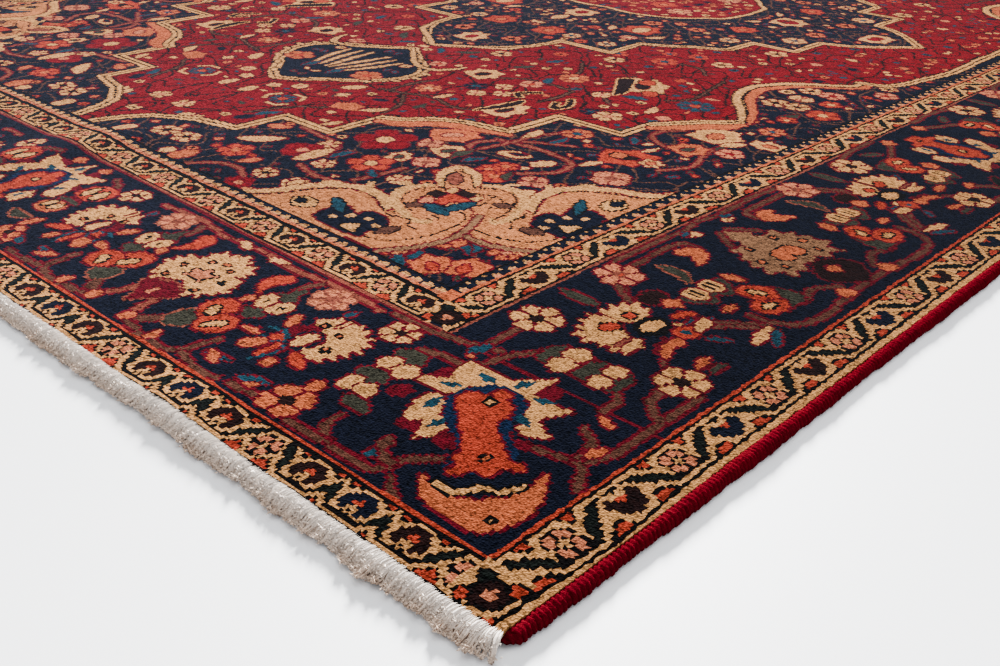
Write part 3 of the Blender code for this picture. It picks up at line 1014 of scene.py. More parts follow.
    def corner_unit(self) -> None:
        """The corner's own flowers: a spool and a crescent on the diagonal, in a fan of leaves."""
        chart, motifs = self.chart, Motifs(self.chart)
        for u, v in ((895, 1412), (886, 1390), (806, 1425), (800, 1468), (838, 1494), (876, 1492)):
            motifs.bud(Spot(u, v, 45), 22.0, 20.0, Wool.MAROON, None)
        leaves = (
            ((805, 1397), (850, 1397), (875, 1368), (877, 1398), (915, 1397), (904, 1420), (906, 1426),
             (926, 1437), (912, 1447), (900, 1444), (892, 1428), (883, 1410), (868, 1405), (848, 1408),
             (833, 1425), (829, 1447), (797, 1446), (796, 1440), (814, 1425), (806, 1412)),
            ((822, 1450), (833, 1452), (846, 1472), (864, 1480), (863, 1498), (855, 1507), (850, 1498),
             (845, 1485), (838, 1490), (828, 1492), (822, 1478), (818, 1462)),
        )
        for points in leaves:
            chart.shape(points, Wool.IVORY, Wool.MAROON, smooth=False)
        for spot, length in (
            (Spot(858, 1404, 20), 22.0), (Spot(823, 1404, 100), 22.0), (Spot(812, 1438, 60), 18.0),
            (Spot(830, 1474, 0), 24.0), (Spot(852, 1488, 10), 16.0), (Spot(880, 1404, 70), 20.0),
            (Spot(905, 1438, 300), 20.0),
        ):
            motifs.leaf(spot, length, 9.0, Wool.TEAL, None)
        surround = ((866, 1404), (886, 1418), (893, 1440), (905, 1458), (925, 1470), (925, 1500),
                    (900, 1520), (890, 1495), (870, 1482), (850, 1470), (834, 1452), (833, 1430),
                    (846, 1410))
        chart.shape(surround, Wool.BLUE, None)
        spool = ((855, 1411), (865, 1411), (868, 1422), (879, 1424), (885, 1438), (882, 1448), (896, 1460),
                 (912, 1470), (924, 1478), (938, 1476), (940, 1483), (928, 1489), (928, 1505), (913, 1506),
                 (909, 1521), (901, 1521), (901, 1507), (894, 1503), (893, 1492), (876, 1478), (862, 1466),
                 (848, 1454), (838, 1444), (837, 1430), (848, 1427), (856, 1425))
        chart.shape(spool, Wool.ORANGE, Wool.MAROON, smooth=False)
        motifs.eye(860, 1431, 7.5)
        motifs.eye(911, 1488, 5.6, Wool.PEACH)
        boat = ((952, 1472), (962, 1482), (972, 1500), (976, 1520), (972, 1540), (962, 1553), (940, 1557),
                (912, 1552), (893, 1535), (905, 1536), (922, 1538), (935, 1532), (945, 1522), (954, 1508),
                (956, 1490))
        chart.shape(boat, Wool.PEACH, Wool.MAROON)
        chart.stroke(
            ((908, 1533), (920, 1534), (930, 1524), (932, 1516), (944, 1512), (950, 1502), (952, 1494)),
            5.5, Wool.IVORY, Wool.BLACK, smooth=False,
        )
        motifs.eye(961, 1538, 5.6, Wool.IVORY)

        motifs.flower(Spot(795, 1299), 24.5, Wool.IVORY, Wool.BROWN)
        motifs.flower(Spot(949, 1300), 23.5, Wool.IVORY, Wool.BROWN)
        motifs.flower(Spot(730, 1404), 18.5, Wool.IVORY, Wool.BROWN)
        for u, width, height in ((863, 21, 21), (902, 16, 18)):
            chart.shape([(u - 22, 1322), (u + 14, 1320), (u + 16, 1352), (u - 22, 1352)], Wool.OLIVE,
                        Wool.MAROON)
            for v in (1325, 1347):
                motifs.bud(Spot(u, v), height + 3, width + 2, Wool.IVORY)
        for v, width in ((1445, 40), (1487, 36)):
            chart.shape([(752, v - 22), (768, v - 32), (782, v - 22), (778, v - 10), (758, v - 10)],
                        Wool.OLIVE, Wool.MAROON)
            for sign in (-1.0, 1.0):
                motifs.bud(Spot(772 + sign * 0.25 * width, v), 22.0, 0.52 * width, Wool.IVORY)
        motifs.flower(Spot(750, 1540, 45), 22.0, Wool.PEACH, Wool.BROWN, 4)
        motifs.bud(Spot(749, 1510), 20.0, 12.0, Wool.PEACH)
        motifs.leaf(Spot(772, 1502, 100), 36.0, 14.0, Wool.OLIVE)
        motifs.leaf(Spot(793, 1388, 20), 28.0, 12.0, Wool.TEAL)
        motifs.bud(Spot(800, 1389), 8.0, 8.0, Wool.PEACH)
        motifs.bud(Spot(943, 1391, 120), 17.0, 8.0, Wool.PEACH)
        motifs.bud(Spot(962, 1428, 15), 22.0, 10.0, Wool.PEACH)
        motifs.bud(Spot(848, 1541, 45), 10.0, 9.0, Wool.TEAL)


# The line between the red field and the navy cornerpieces: steps, then leaf-like arcs
STEPS_LOW = ((20, 1292), (32, 1252), (50, 1222), (78, 1203), (105, 1187), (150, 1176), (169, 1170),
             (169, 1093), (260, 1093), (260, 1000))
FEATHER_LOW = ((260, 1000), (285, 985), (310, 955), (350, 932), (416, 918))
STEPS_HIGH = ((416, 918), (416, 817), (523, 817), (523, 751))
FEATHER_HIGH = ((523, 751), (548, 712), (570, 682), (586, 668), (600, 646))
CRESCENT = ((600, 646), (573, 600), (530, 540), (515, 480), (525, 445), (550, 405), (617, 349), (617, 318))
SCALLOP = ((617, 318), (640, 310), (653, 303), (668, 265), (674, 227), (684, 163), (688, 100), (684, 0))


@dataclass
class Blooms:
    """Flowers given as short lists of their places, and a sower for the small ones between."""

    chart: Chart
    seed: int = 7

    def __post_init__(self) -> None:
        """Start the fixed random numbers."""
        self.rng = np.random.default_rng(self.seed)
        self.motifs = Motifs(self.chart)

    def flowers(self, wool: Wool, eye: Wool, petals: int, *places: tuple[float, float, float]) -> None:
        """Flowers at places given with their radius."""
        for u, v, radius in places:
            self.motifs.flower(Spot(u, v, 15.0), radius, wool, eye, petals)

    def leaves(self, wool: Wool, *places: tuple[float, float, float, float]) -> None:
        """Leaves at places given with the way they point and their length."""
        for u, v, turn, length in places:
            self.motifs.leaf(Spot(u, v, turn), length, 0.36 * length, wool, Wool.MAROON, bend=0.08 * length)

    def buds(self, wool: Wool, edge: Wool, *places: tuple[float, float, float, float, float]) -> None:
        """Buds at places given with the way they point, their length and their width."""
        for u, v, turn, length, width in places:
            self.motifs.bud(Spot(u, v, turn), length, width, wool, edge)

    def fans(self, wool: Wool, eye: Wool, *places: tuple[float, float, float, float, float]) -> None:
        """Toothed palmettes at places given with the way they point, their length and their width."""
        for u, v, turn, length, width in places:
            self.motifs.fan(Spot(u, v, turn), length, width, 6, wool)
            self.motifs.bud(Spot(u, v, turn), 0.34 * length, 0.26 * width, eye, Wool.MAROON)

    def clusters(self, wool: Wool, heart: Wool, *places: tuple[float, float, float]) -> None:
        """Clusters of round petals apart from each other, at places given with their radius."""
        for u, v, radius in places:
            for i in range(5):
                angle = math.radians(72.0 * i + 10.0)
                away = 0.66 * radius
                middle = Spot(u + away * math.sin(angle), v + away * math.cos(angle))
                self.motifs.bud(middle, 0.72 * radius, 0.72 * radius, wool)
            self.motifs.bud(Spot(u, v), 0.6 * radius, 0.6 * radius, heart, Wool.MAROON)

    def sow(self, ground: Wool, step: float, wools: Sequence[Wool], small: float, inside: Array) -> None:
        """Fill the empty ground with small flowers, buds and leaves.

        They stand on a grid shaken by random numbers, only where the ground is still free around them.

        Args:
            ground: Wool of the free ground.
            step: Distance between the places tried.
            wools: Wools of the flowers.
            small: Radius that must be free.
            inside: Mask of the part of the chart to fill.
        """
        chart, rng = self.chart, self.rng
        reach = max(int(small / KNOT), 1)
        across, along = np.arange(8.0, SOWN_SIDE, step), np.arange(8.0, SOWN_END, step)
        places = np.stack(np.meshgrid(across, along), -1).reshape(-1, 2)
        places = places + rng.uniform(-0.42, 0.42, places.shape) * step
        picks = rng.integers(0, 6, len(places))
        hues = rng.integers(0, len(wools), len(places))
        turns = rng.uniform(0.0, 360.0, len(places))
        for (u, v), pick, hue, turn in zip(places, picks, hues, turns):
            column, row = int(u / chart.step_u), int(v / chart.step_v)
            block = (slice(max(row - reach, 0), row + reach + 1),
                     slice(max(column - reach, 0), column + reach + 1))
            if not (np.all(chart.knots[block] == int(ground)) and np.all(inside[block])):
                continue
            wool = wools[hue]
            spot = Spot(u, v, turn)
            if pick == 0:
                self.motifs.flower(spot, small * 0.86, wool, Wool.BROWN, 5)
            elif pick == 1:
                self.motifs.sprig(spot, wool, small / 16.0)
            elif pick == 2:
                self.motifs.leaf(spot, small * 1.3, small * 0.5, Wool.TEAL)
            elif pick == 3:
                self.motifs.bud(spot, small * 1.3, small * 0.7, wool)
            elif pick == 4:
                self.motifs.leaf(spot, small * 1.3, small * 0.5, Wool.OLIVE)
            else:
                self.motifs.flower(spot, small * 0.7, wool, wool, 4)

    def stems(self, wool: Wool, step: float, width: float, inside: Array, ground: Wool) -> None:
        """Thin stems that wave across the free ground.

        Args:
            wool: Their wool.
            step: Distance between them.
            width: Their width.
            inside: Mask of the part of the chart they cross.
            ground: Wool of the ground, the only knots that they take.
        """
        chart = self.chart
        layer = chart.layer()
        for place in np.arange(0.0, 1320.0, step):
            along = np.arange(-20.0, 740.0, 0.45 * step)
            shift = self.rng.uniform(-0.55, 0.55, len(along)) * step
            layer.stroke(np.stack([along, place + shift], 1), width, wool)
            if place < 720.0:
                along = np.arange(-20.0, 1340.0, 0.6 * step)
                shift = self.rng.uniform(-0.6, 0.6, len(along)) * step
                layer.stroke(np.stack([place + shift, along], 1), width, wool)
        taken = (layer.knots != NO_WOOL) & inside & (chart.knots == int(ground))
        chart.knots[taken] = int(wool)


@dataclass
class Cornerpiece:
    """The navy corner inside the borders: its stepped edge, its flowers and its peach arabesque."""

    chart: Chart

    def region(self) -> Array:
        """Mask of the cornerpiece."""
        chart = self.chart
        layer = chart.layer()
        crescent = smooth_path(CRESCENT, False)
        beyond = ((740, 0), (740, 1330), (20, 1330))
        path = [*STEPS_LOW, *FEATHER_LOW[1:], *STEPS_HIGH[1:], *FEATHER_HIGH[1:], *crescent[1:],
                *SCALLOP[1:], *beyond]
        layer.shape(path, Wool.NAVY, smooth=False)
        return (layer.knots != NO_WOOL) & (chart.flat_u < INNER_SIDE) & (chart.flat_v < INNER_END)

    def draw(self) -> None:
        """Knot the ground, the flowers, the edge and the arabesque."""
        chart = self.chart
        inside = self.region()
        chart.band(inside, Wool.NAVY)
        blooms = Blooms(chart, 11)
        blooms.stems(Wool.VINE, 62.0, 2.6, inside, Wool.NAVY)
        self.flowers(blooms)
        self.upper_flowers(blooms)
        blooms.sow(Wool.NAVY, 17.0, (Wool.IVORY, Wool.PEACH, Wool.PINK, Wool.ORANGE), 14.0, inside)
        blooms.sow(Wool.NAVY, 9.0, (Wool.IVORY, Wool.PEACH, Wool.ORANGE), 8.0, inside)
        self.edge()
        self.arabesque()

    def edge(self) -> None:
        """The edge: ivory, a black zigzag, ivory again and a brown outline; leaf-like on the arcs."""
        chart = self.chart
        for path in (STEPS_LOW, STEPS_HIGH):
            chart.stroke(path, 17.0, Wool.IVORY, Wool.BROWN, smooth=False)
            chart.stroke(path, 3.2, Wool.BLACK, smooth=False)
        for path in (FEATHER_LOW, FEATHER_HIGH):
            outer = [(u + 10.0, v + 14.0) for u, v in path]
            chart.stroke(outer, [14.0] + [30.0] * (len(path) - 2) + [12.0], Wool.PEACH, Wool.MAROON)
            chart.stroke(path, 16.0, Wool.IVORY, Wool.BROWN)
            chart.stroke(path, 3.2, Wool.BLACK)
        outer = [(u + 14.0, v) for u, v in CRESCENT]
        chart.stroke(outer, (6, 18, 26, 26, 24, 20, 14, 8), Wool.PEACH, Wool.MAROON)
        chart.stroke(CRESCENT, (6, 14, 16, 14, 14, 16, 12, 8), Wool.IVORY, Wool.BROWN)
        chart.stroke([(u + 7.0, v) for u, v in CRESCENT], 3.0, Wool.BROWN)
        chart.stroke(SCALLOP, 15.0, Wool.IVORY, Wool.BROWN)
        chart.stroke(SCALLOP, 3.2, Wool.BLACK)

    def flowers(self, blooms: Blooms) -> None:
        """The larger flowers of the lower part."""
        motifs = blooms.motifs
        motifs.vine((430, 955), (460, 950), (500, 948), (550, 955), (562, 975), (560, 1000), (535, 1032),
                    wool=Wool.ROSE, width=7.0)
        motifs.vine((430, 960), (418, 985), (425, 1005), wool=Wool.ROSE)
        motifs.vine((445, 950), (470, 930), (495, 915), (515, 905), wool=Wool.ROSE)
        motifs.vine((220, 1105), (260, 1112), (310, 1120), (325, 1150), wool=Wool.ROSE)
        motifs.vine((335, 1200), (375, 1212), (420, 1205), (450, 1190), wool=Wool.ROSE)
        motifs.vine((240, 1300), (262, 1270), (300, 1262), (345, 1290), wool=Wool.ROSE)
        motifs.vine((420, 1190), (424, 1160), (430, 1120), wool=Wool.ROSE)
        motifs.vine((600, 1235), (606, 1270), (625, 1290), (650, 1305), wool=Wool.ROSE)
        blooms.fans(Wool.PEACH, Wool.PINK, (378, 985, 40, 84, 64))
        blooms.fans(Wool.IVORY, Wool.OLIVE, (420, 1035, 20, 56, 50), (395, 1095, 350, 44, 32))
        blooms.flowers(Wool.PINK, Wool.ROSE, 4, (620, 965, 24), (383, 1030, 17), (432, 1085, 18),
                       (565, 1040, 18))
        blooms.flowers(Wool.IVORY, Wool.PINK, 5, (453, 1150, 16), (352, 1178, 15), (300, 1125, 14))
        blooms.flowers(Wool.IVORY, Wool.BROWN, 6, (380, 1245, 16), (330, 1248, 16), (120, 1245, 19),
                       (157, 1240, 18))
        blooms.flowers(Wool.ORANGE, Wool.PEACH, 5, (240, 1225, 22), (507, 1025, 15), (500, 1046, 14))
        blooms.flowers(Wool.ORANGE, Wool.PEACH, 4, (522, 1062, 20), (592, 1295, 13))
        blooms.clusters(Wool.RED, Wool.IVORY, (335, 1062, 40))
        blooms.clusters(Wool.ORANGE, Wool.IVORY, (388, 1136, 28))
        blooms.flowers(Wool.RED, Wool.PINK, 4, (335, 1290, 18), (295, 1165, 26))
        blooms.buds(Wool.IVORY, Wool.MAROON, (485, 985, 70, 44, 24), (532, 985, 30, 34, 20),
                    (80, 1280, 0, 34, 22))
        blooms.buds(Wool.IVORY, Wool.MAROON, (318, 1165, 0, 60, 22), (380, 1243, 0, 20, 14),
                    (185, 1285, 0, 22, 18))
        blooms.buds(Wool.NAVY, Wool.MAROON, (488, 981, 70, 22, 9))
        blooms.buds(Wool.PEACH, Wool.MAROON, (200, 1125, 60, 30, 20), (210, 1280, 0, 40, 26),
                    (283, 1235, 30, 28, 14))
        blooms.leaves(Wool.TEAL, (345, 1120, 190, 40), (405, 1150, 120, 30), (620, 1270, 160, 36),
                      (606, 1290, 130, 34), (660, 1245, 300, 28), (470, 1020, 200, 34))
        blooms.leaves(Wool.OLIVE, (525, 1035, 150, 32), (612, 1245, 90, 30), (680, 1240, 170, 24),
                      (440, 1010, 180, 40), (250, 1150, 220, 50))
        blooms.leaves(Wool.IVORY, (200, 1196, 45, 66))
        blooms.flowers(Wool.PEACH, Wool.PINK, 5, (617, 1233, 21), (680, 1215, 16))
        motifs.fan(Spot(650, 1288, 300), 52.0, 50.0, 5, Wool.PEACH)
        motifs.fan(Spot(681, 1268, 330), 52.0, 46.0, 5, Wool.PEACH)
        blooms.buds(Wool.ORANGE, Wool.MAROON, (652, 1289, 300, 20, 12), (678, 1272, 330, 22, 12))

    def upper_flowers(self, blooms: Blooms) -> None:
        """The larger flowers of the upper part, beside the field."""
        motifs = blooms.motifs
        motifs.vine((440, 1000), (450, 950), (455, 900), (470, 870), wool=Wool.ROSE)
        motifs.vine((640, 900), (660, 860), (650, 820), (640, 780), wool=Wool.ROSE)
        motifs.vine((600, 820), (560, 800), (550, 770), (570, 740), wool=Wool.ROSE)
        blooms.fans(Wool.ORANGE, Wool.BROWN, (585, 890, 60, 96, 66))
        blooms.buds(Wool.PEACH, Wool.BLACK, (573, 890, 0, 20, 20))
        blooms.fans(Wool.IVORY, Wool.PEACH, (618, 885, 90, 36, 30), (612, 730, 0, 84, 78),
                    (685, 715, 270, 60, 40))
        blooms.fans(Wool.PEACH, Wool.OLIVE, (620, 805, 20, 60, 54))
        blooms.flowers(Wool.PEACH, Wool.TEAL, 6, (483, 860, 21), (655, 655, 18), (605, 635, 14))
        blooms.leaves(Wool.IVORY, (447, 925, 350, 44), (582, 858, 20, 30), (578, 925, 200, 36))
        blooms.leaves(Wool.TEAL, (485, 918, 0, 34), (660, 1240, 320, 26), (560, 840, 320, 30))
        blooms.leaves(Wool.OLIVE, (640, 760, 140, 40), (625, 590, 20, 40), (500, 800, 90, 34))
        blooms.flowers(Wool.IVORY, Wool.BROWN, 6, (585, 525, 20), (618, 520, 19), (590, 425, 18),
                       (665, 320, 14))
        blooms.flowers(Wool.ORANGE, Wool.IVORY, 5, (665, 530, 24), (645, 470, 16), (640, 590, 14))
        blooms.flowers(Wool.PINK, Wool.RED, 5, (625, 425, 20), (680, 360, 18), (600, 475, 16),
                       (665, 780, 18))
        blooms.buds(Wool.IVORY, Wool.MAROON, (648, 745, 30, 34, 18), (590, 475, 0, 26, 14),
                    (610, 475, 0, 26, 14))

    def arabesque(self) -> None:
        """The peach arabesque about the diagonal of the corner, alike on both sides of it."""
        for flip in (False, True):
            self.arm(flip)
        self.arabesque_tip()

    def arm(self, flip: bool) -> None:
        """One arm of the arabesque.

        Args:
            flip: Whether it is the arm on the other side of the diagonal.
        """
        chart, motifs = self.chart, Motifs(self.chart)

        def side(points: Iterable[Place]) -> list[Place]:
            """Places on this arm's side of the diagonal."""
            return [(v - DIAGONAL, u + DIAGONAL) if flip else (u, v) for u, v in points]

        def at(u: float, v: float, turn: float = 0.0) -> Spot:
            """A spot on this arm's side."""
            (a, b), = side([(u, v)])
            return Spot(a, b, 270.0 - turn if flip else turn)

        chart.shape(side([
            (704, 960), (680, 978), (655, 990), (632, 1003), (610, 1022), (598, 1045), (598, 1072),
            (606, 1092), (588, 1080), (566, 1076), (545, 1084), (531, 1098), (530, 1130), (552, 1165),
            (574, 1188), (600, 1206), (632, 1214), (668, 1206), (704, 1184)]), Wool.APRICOT, Wool.MAROON)
        chart.stroke(side([(566, 1194), (598, 1208), (634, 1215), (670, 1207), (706, 1186)]), 8.0,
                     Wool.TAN, Wool.MAROON)
        chart.stroke(side([(704, 962), (678, 982), (652, 992), (630, 1006), (610, 1026), (601, 1048),
                           (602, 1072), (612, 1094), (624, 1110)]),
                           (10, 15, 14, 15, 14, 16, 15, 13, 9), Wool.IVORY, Wool.MAROON)
        chart.stroke(side([(612, 1020), (612, 1008), (620, 1000)]), 8.0, Wool.IVORY)
        chart.stroke(side([(600, 1056), (592, 1044), (584, 1038)]), 8.0, Wool.IVORY)
        chart.stroke(side([(704, 972), (682, 992), (655, 1004), (632, 1018), (614, 1034), (608, 1056),
                           (612, 1080), (626, 1106), (634, 1122), (630, 1140)]), 2.2, Wool.BLACK)
        chart.stroke(side([(531, 1098), (546, 1084), (568, 1078), (590, 1086), (606, 1104), (616, 1126),
                           (624, 1146), (620, 1166), (610, 1162)]),
                           (6, 10, 13, 13, 12, 12, 11, 9, 6), Wool.IVORY)
        chart.stroke(side([(556, 1078), (554, 1068), (560, 1062)]), 7.0, Wool.IVORY)
        chart.stroke(side([(534, 1104), (550, 1092), (572, 1088), (592, 1100), (606, 1124), (613, 1148),
                           (610, 1170), (602, 1166), (602, 1156)]), 2.2, Wool.BLACK)
        chart.stroke(side([(554, 1114), (568, 1108), (584, 1114), (594, 1128), (590, 1142), (584, 1128)]),
                     2.2, Wool.BLACK)
        chart.stroke(side([(568, 1112), (574, 1132), (572, 1158), (576, 1182), (600, 1194), (640, 1194),
                           (672, 1182), (690, 1160), (692, 1146)]), 2.2, Wool.BLACK)
        chart.stroke(side([(624, 1120), (630, 1132), (628, 1150), (640, 1160), (640, 1172)]), 2.2,
                     Wool.BLACK)
        chart.shape(side([(650, 1072), (668, 1064), (684, 1066), (696, 1078), (696, 1140), (680, 1142),
                          (664, 1147), (648, 1138), (640, 1118), (643, 1102),
                          (656, 1098)]), Wool.NAVY, Wool.MAROON)
        for u, v in ((679, 1086), (664, 1098), (657, 1119), (665, 1137)):
            motifs.bud(at(u, v), 10.0, 9.0, Wool.IVORY, None)
        chart.shape(side([(672, 1122), (690, 1106), (692, 1132)]), Wool.IVORY, Wool.BLACK, smooth=False)
        motifs.leaf(at(642, 1044, 150), 46.0, 13.0, Wool.TEAL, Wool.BLACK)
        motifs.bud(at(676, 1032, 0), 34.0, 26.0, Wool.IVORY, Wool.BLACK)
        motifs.bud(at(676, 1026, 0), 14.0, 11.0, Wool.NAVY, Wool.BLACK)
        motifs.leaf(at(583, 1128, 60), 24.0, 14.0, Wool.VINE, Wool.BLACK)
        motifs.leaf(at(648, 1158, 75), 30.0, 16.0, Wool.VINE, Wool.BROWN)
        motifs.bud(at(548, 1126, 20), 16.0, 12.0, Wool.IVORY, Wool.BROWN)

    def arabesque_tip(self) -> None:
        """The pointed leaf at the arabesque's head and the palmette under it, on the diagonal."""
        chart, motifs = self.chart, Motifs(self.chart)

        def both(points: Sequence[Place]) -> list[Place]:
            """Half an outline and its mirror image across the diagonal."""
            return [*points, *((v - DIAGONAL, u + DIAGONAL) for u, v in points[::-1])]

        chart.shape(both([(462, 1066), (482, 1060), (508, 1068), (522, 1082), (534, 1099)]),
                    Wool.IVORY, Wool.MAROON, smooth=False)
        chart.shape(both([(476, 1080), (500, 1080), (516, 1092), (536, 1110)]), Wool.APRICOT, Wool.BLACK,
                    smooth=False)
        motifs.leaf(Spot(482, 1086, 135), 42.0, 18.0, Wool.ROSE, Wool.BROWN)
        for u, v, width, height in ((537, 1127, 26, 15), (516, 1150, 20, 20)):
            chart.shape([(u - width / 2, v - height / 2), (u + width / 2, v - height / 2),
                         (u + width / 2, v + height / 2), (u - width / 2, v + height / 2)],
                        Wool.BROWN, None, smooth=False)
        chart.shape([(528, 1138), (556, 1136), (558, 1150), (546, 1152), (544, 1168), (530, 1168)],
                    Wool.ORANGE, Wool.MAROON, smooth=False)
        motifs.leaf(Spot(566, 1136, 190), 48.0, 15.0, Wool.TEAL, Wool.NAVY)
        motifs.leaf(Spot(526, 1180, 100), 44.0, 15.0, Wool.TEAL, Wool.NAVY)
        motifs.bud(Spot(522, 1130), 16.0, 14.0, Wool.IVORY)
        motifs.bud(Spot(522, 1172), 18.0, 16.0, Wool.PINK)
        motifs.bud(Spot(558, 1128), 16.0, 12.0, Wool.IVORY)


# The lobed outline of a quarter of the navy medallion, from its tip on the middle line to its side tip
MEDALLION = ((0, 656), (30, 640), (60, 610), (95, 575), (118, 535), (126, 490), (126, 465), (237, 465),
             (233, 372), (270, 352), (310, 318), (345, 300), (361, 284), (359, 210), (442, 209),
             (440, 112), (480, 96), (520, 62), (548, 28), (573, 0))
PENDANT = ((0, 983), (28, 965), (62, 930), (96, 900), (122, 862), (131, 826), (122, 795), (98, 770),
           (60, 745), (26, 720), (0, 698))


@dataclass
class Field:
    """The red field with its scattered flowers, its pendant and half of the central medallion."""

    chart: Chart

    def region(self, outline: Sequence[Place]) -> Array:
        """Mask of an outline that is closed along the carpet's middle line."""
        layer = self.chart.layer()
        past_middle = ((-20, outline[-1][1] - 20.0), (-20, outline[0][1]))
        layer.shape([*outline, *past_middle], Wool.NAVY, smooth=False)
        return layer.knots != NO_WOOL

    def draw(self) -> None:
        """Knot the field's flowers, then the medallion and the pendant over them."""
        chart = self.chart
        everywhere = np.ones(chart.knots.shape, bool)
        blooms = Blooms(chart, 5)
        blooms.stems(Wool.BROWN, 58.0, 3.6, everywhere, Wool.RED)
        self.flowers(blooms)
        self.medallion(blooms)
        self.pendant(blooms)
        blooms.sow(Wool.RED, 23.0, (Wool.IVORY, Wool.PEACH, Wool.PINK, Wool.ORANGE, Wool.NAVY), 15.0,
                   everywhere)
        blooms.sow(Wool.RED, 13.0, (Wool.IVORY, Wool.PEACH, Wool.IVORY, Wool.TEAL), 9.0, everywhere)

    def flowers(self, blooms: Blooms) -> None:
        """The larger flowers of the red ground."""
        motifs, chart = blooms.motifs, self.chart
        for path in (
            ((150, 905), (190, 895), (235, 880), (290, 893), (320, 880)),
            ((165, 905), (160, 850), (170, 810)),
            ((200, 905), (230, 940), (245, 985)),
            ((340, 700), (300, 697), (250, 705), (215, 740)),
            ((345, 700), (352, 740), (350, 785)),
            ((390, 655), (396, 690), (420, 712)),
            ((120, 1120), (140, 1060), (170, 1030), (190, 1000)),
            ((430, 470), (400, 440), (360, 440), (330, 470)),
            ((250, 560), (280, 600), (290, 640)),
            ((470, 640), (490, 600), (480, 540), (470, 480)),
        ):
            motifs.vine(*path, width=4.0, wool=Wool.VINE, edge=Wool.BROWN)
        blooms.fans(Wool.IVORY, Wool.BROWN, (345, 850, 0, 88, 62), (400, 600, 330, 104, 86),
                    (190, 730, 20, 70, 64))
        chart.stroke([(362, 590), (390, 640), (398, 668)], [26, 20, 6], Wool.BROWN, Wool.IVORY)
        chart.stroke([(318, 880), (330, 840), (332, 800)], [4, 16, 10], Wool.BROWN, Wool.IVORY)
        blooms.buds(Wool.ORANGE, Wool.BLACK, (392, 578, 330, 30, 26), (432, 626, 330, 28, 24))
        blooms.leaves(Wool.TEAL, (450, 655, 250, 44), (205, 600, 20, 36), (150, 1085, 200, 40),
                      (50, 690, 320, 36), (275, 665, 150, 40))
        blooms.flowers(Wool.PEACH, Wool.IVORY, 7, (300, 642, 25), (195, 850, 20))
        blooms.flowers(Wool.NAVY, Wool.TEAL, 5, (230, 788, 19), (430, 765, 16))
        blooms.flowers(Wool.PINK, Wool.ORANGE, 4, (280, 718, 19), (100, 738, 15))
        blooms.flowers(Wool.IVORY, Wool.PINK, 4, (262, 760, 15), (286, 790, 14), (258, 816, 15),
                       (385, 685, 15))
        blooms.flowers(Wool.IVORY, Wool.PINK, 5, (460, 765, 22), (65, 985, 13), (30, 1160, 16),
                       (35, 1010, 12))
        blooms.flowers(Wool.TEAL, Wool.ORANGE, 8, (515, 630, 28), (100, 1045, 20))
        blooms.flowers(Wool.ORANGE, Wool.TEAL, 5, (335, 445, 24), (250, 460, 18), (355, 375, 17),
                       (310, 395, 14))
        blooms.flowers(Wool.IVORY, Wool.BROWN, 5, (120, 612, 18), (410, 390, 18), (430, 250, 20),
                       (270, 500, 18))
        for turn in (30.0, 150.0, 270.0):
            spot = Spot(100, 1045, turn)
            chart.stroke(spot.put([(-16, 22), (0, 31), (16, 22)]), 6.0, Wool.IVORY, Wool.MAROON)
        motifs.fan(Spot(190, 1002, 340), 44.0, 54.0, 5, Wool.PEACH)
        blooms.leaves(Wool.IVORY, (214, 1002, 30, 44), (228, 1082, 20, 34), (485, 715, 350, 40),
                      (235, 880, 10, 36))
        blooms.buds(Wool.NAVY, Wool.MAROON, (135, 1135, 20, 30, 16), (195, 945, 60, 22, 12))
        blooms.leaves(Wool.OLIVE, (255, 940, 350, 34), (62, 665, 40, 46), (190, 665, 30, 40))
        for path in (((375, 740), (392, 770), (384, 790), (370, 770)),
                     ((318, 745), (300, 770), (312, 782))):
            chart.stroke(path, 9.0, Wool.BROWN, Wool.IVORY)
        blooms.buds(Wool.IVORY, Wool.MAROON, (25, 1050, 0, 34, 18), (120, 930, 30, 38, 20),
                    (75, 1190, 20, 30, 16))

    def bordered(self, outline: Sequence[Place], width: float, smooth: bool) -> Array:
        """Fill an outline with navy inside an ivory line, and say which knots are inside."""
        chart = self.chart
        inside = self.region(outline)
        chart.band(inside, Wool.NAVY)
        chart.stroke(outline, width, Wool.IVORY, Wool.BROWN, smooth=smooth)
        chart.stroke(outline, 3.0, Wool.BROWN, smooth=smooth)
        return inside

    def pendant(self, blooms: Blooms) -> None:
        """The pendant below the medallion: a toothed ivory edge about navy, a striped leaf and a flower."""
        chart, motifs = self.chart, blooms.motifs
        inside = self.bordered(PENDANT, 16.0, True)
        for i, (u, v) in enumerate(PENDANT[1:-1]):
            motifs.leaf(Spot(u, v, 90.0 + 12.0 * (i - 4)), 22.0, 10.0, Wool.IVORY, Wool.BROWN)
        for shift in (0.0, 16.0, 32.0):
            chart.stroke([(4 + shift, 880), (12 + 1.3 * shift, 830), (20 + 1.3 * shift, 770 + 0.4 * shift)],
                         [4, 9, 4], Wool.IVORY, Wool.VINE)
        motifs.flower(Spot(82, 872), 24.0, Wool.PEACH, Wool.ORANGE, 5)
        motifs.leaf(Spot(30, 910, 0), 40.0, 14.0, Wool.TEAL)
        blooms.sow(Wool.NAVY, 17.0, (Wool.IVORY, Wool.PEACH, Wool.TEAL), 11.0, inside)
        chart.stroke([(0, 700), (40, 738), (80, 768), (118, 772), (138, 748), (146, 722)],
                     [5, 9, 10, 11, 9, 5],
                     Wool.IVORY, Wool.BROWN)
        chart.stroke([(0, 656), (40, 625), (80, 600), (104, 580), (112, 555)], 10.0, Wool.IVORY, Wool.BROWN)

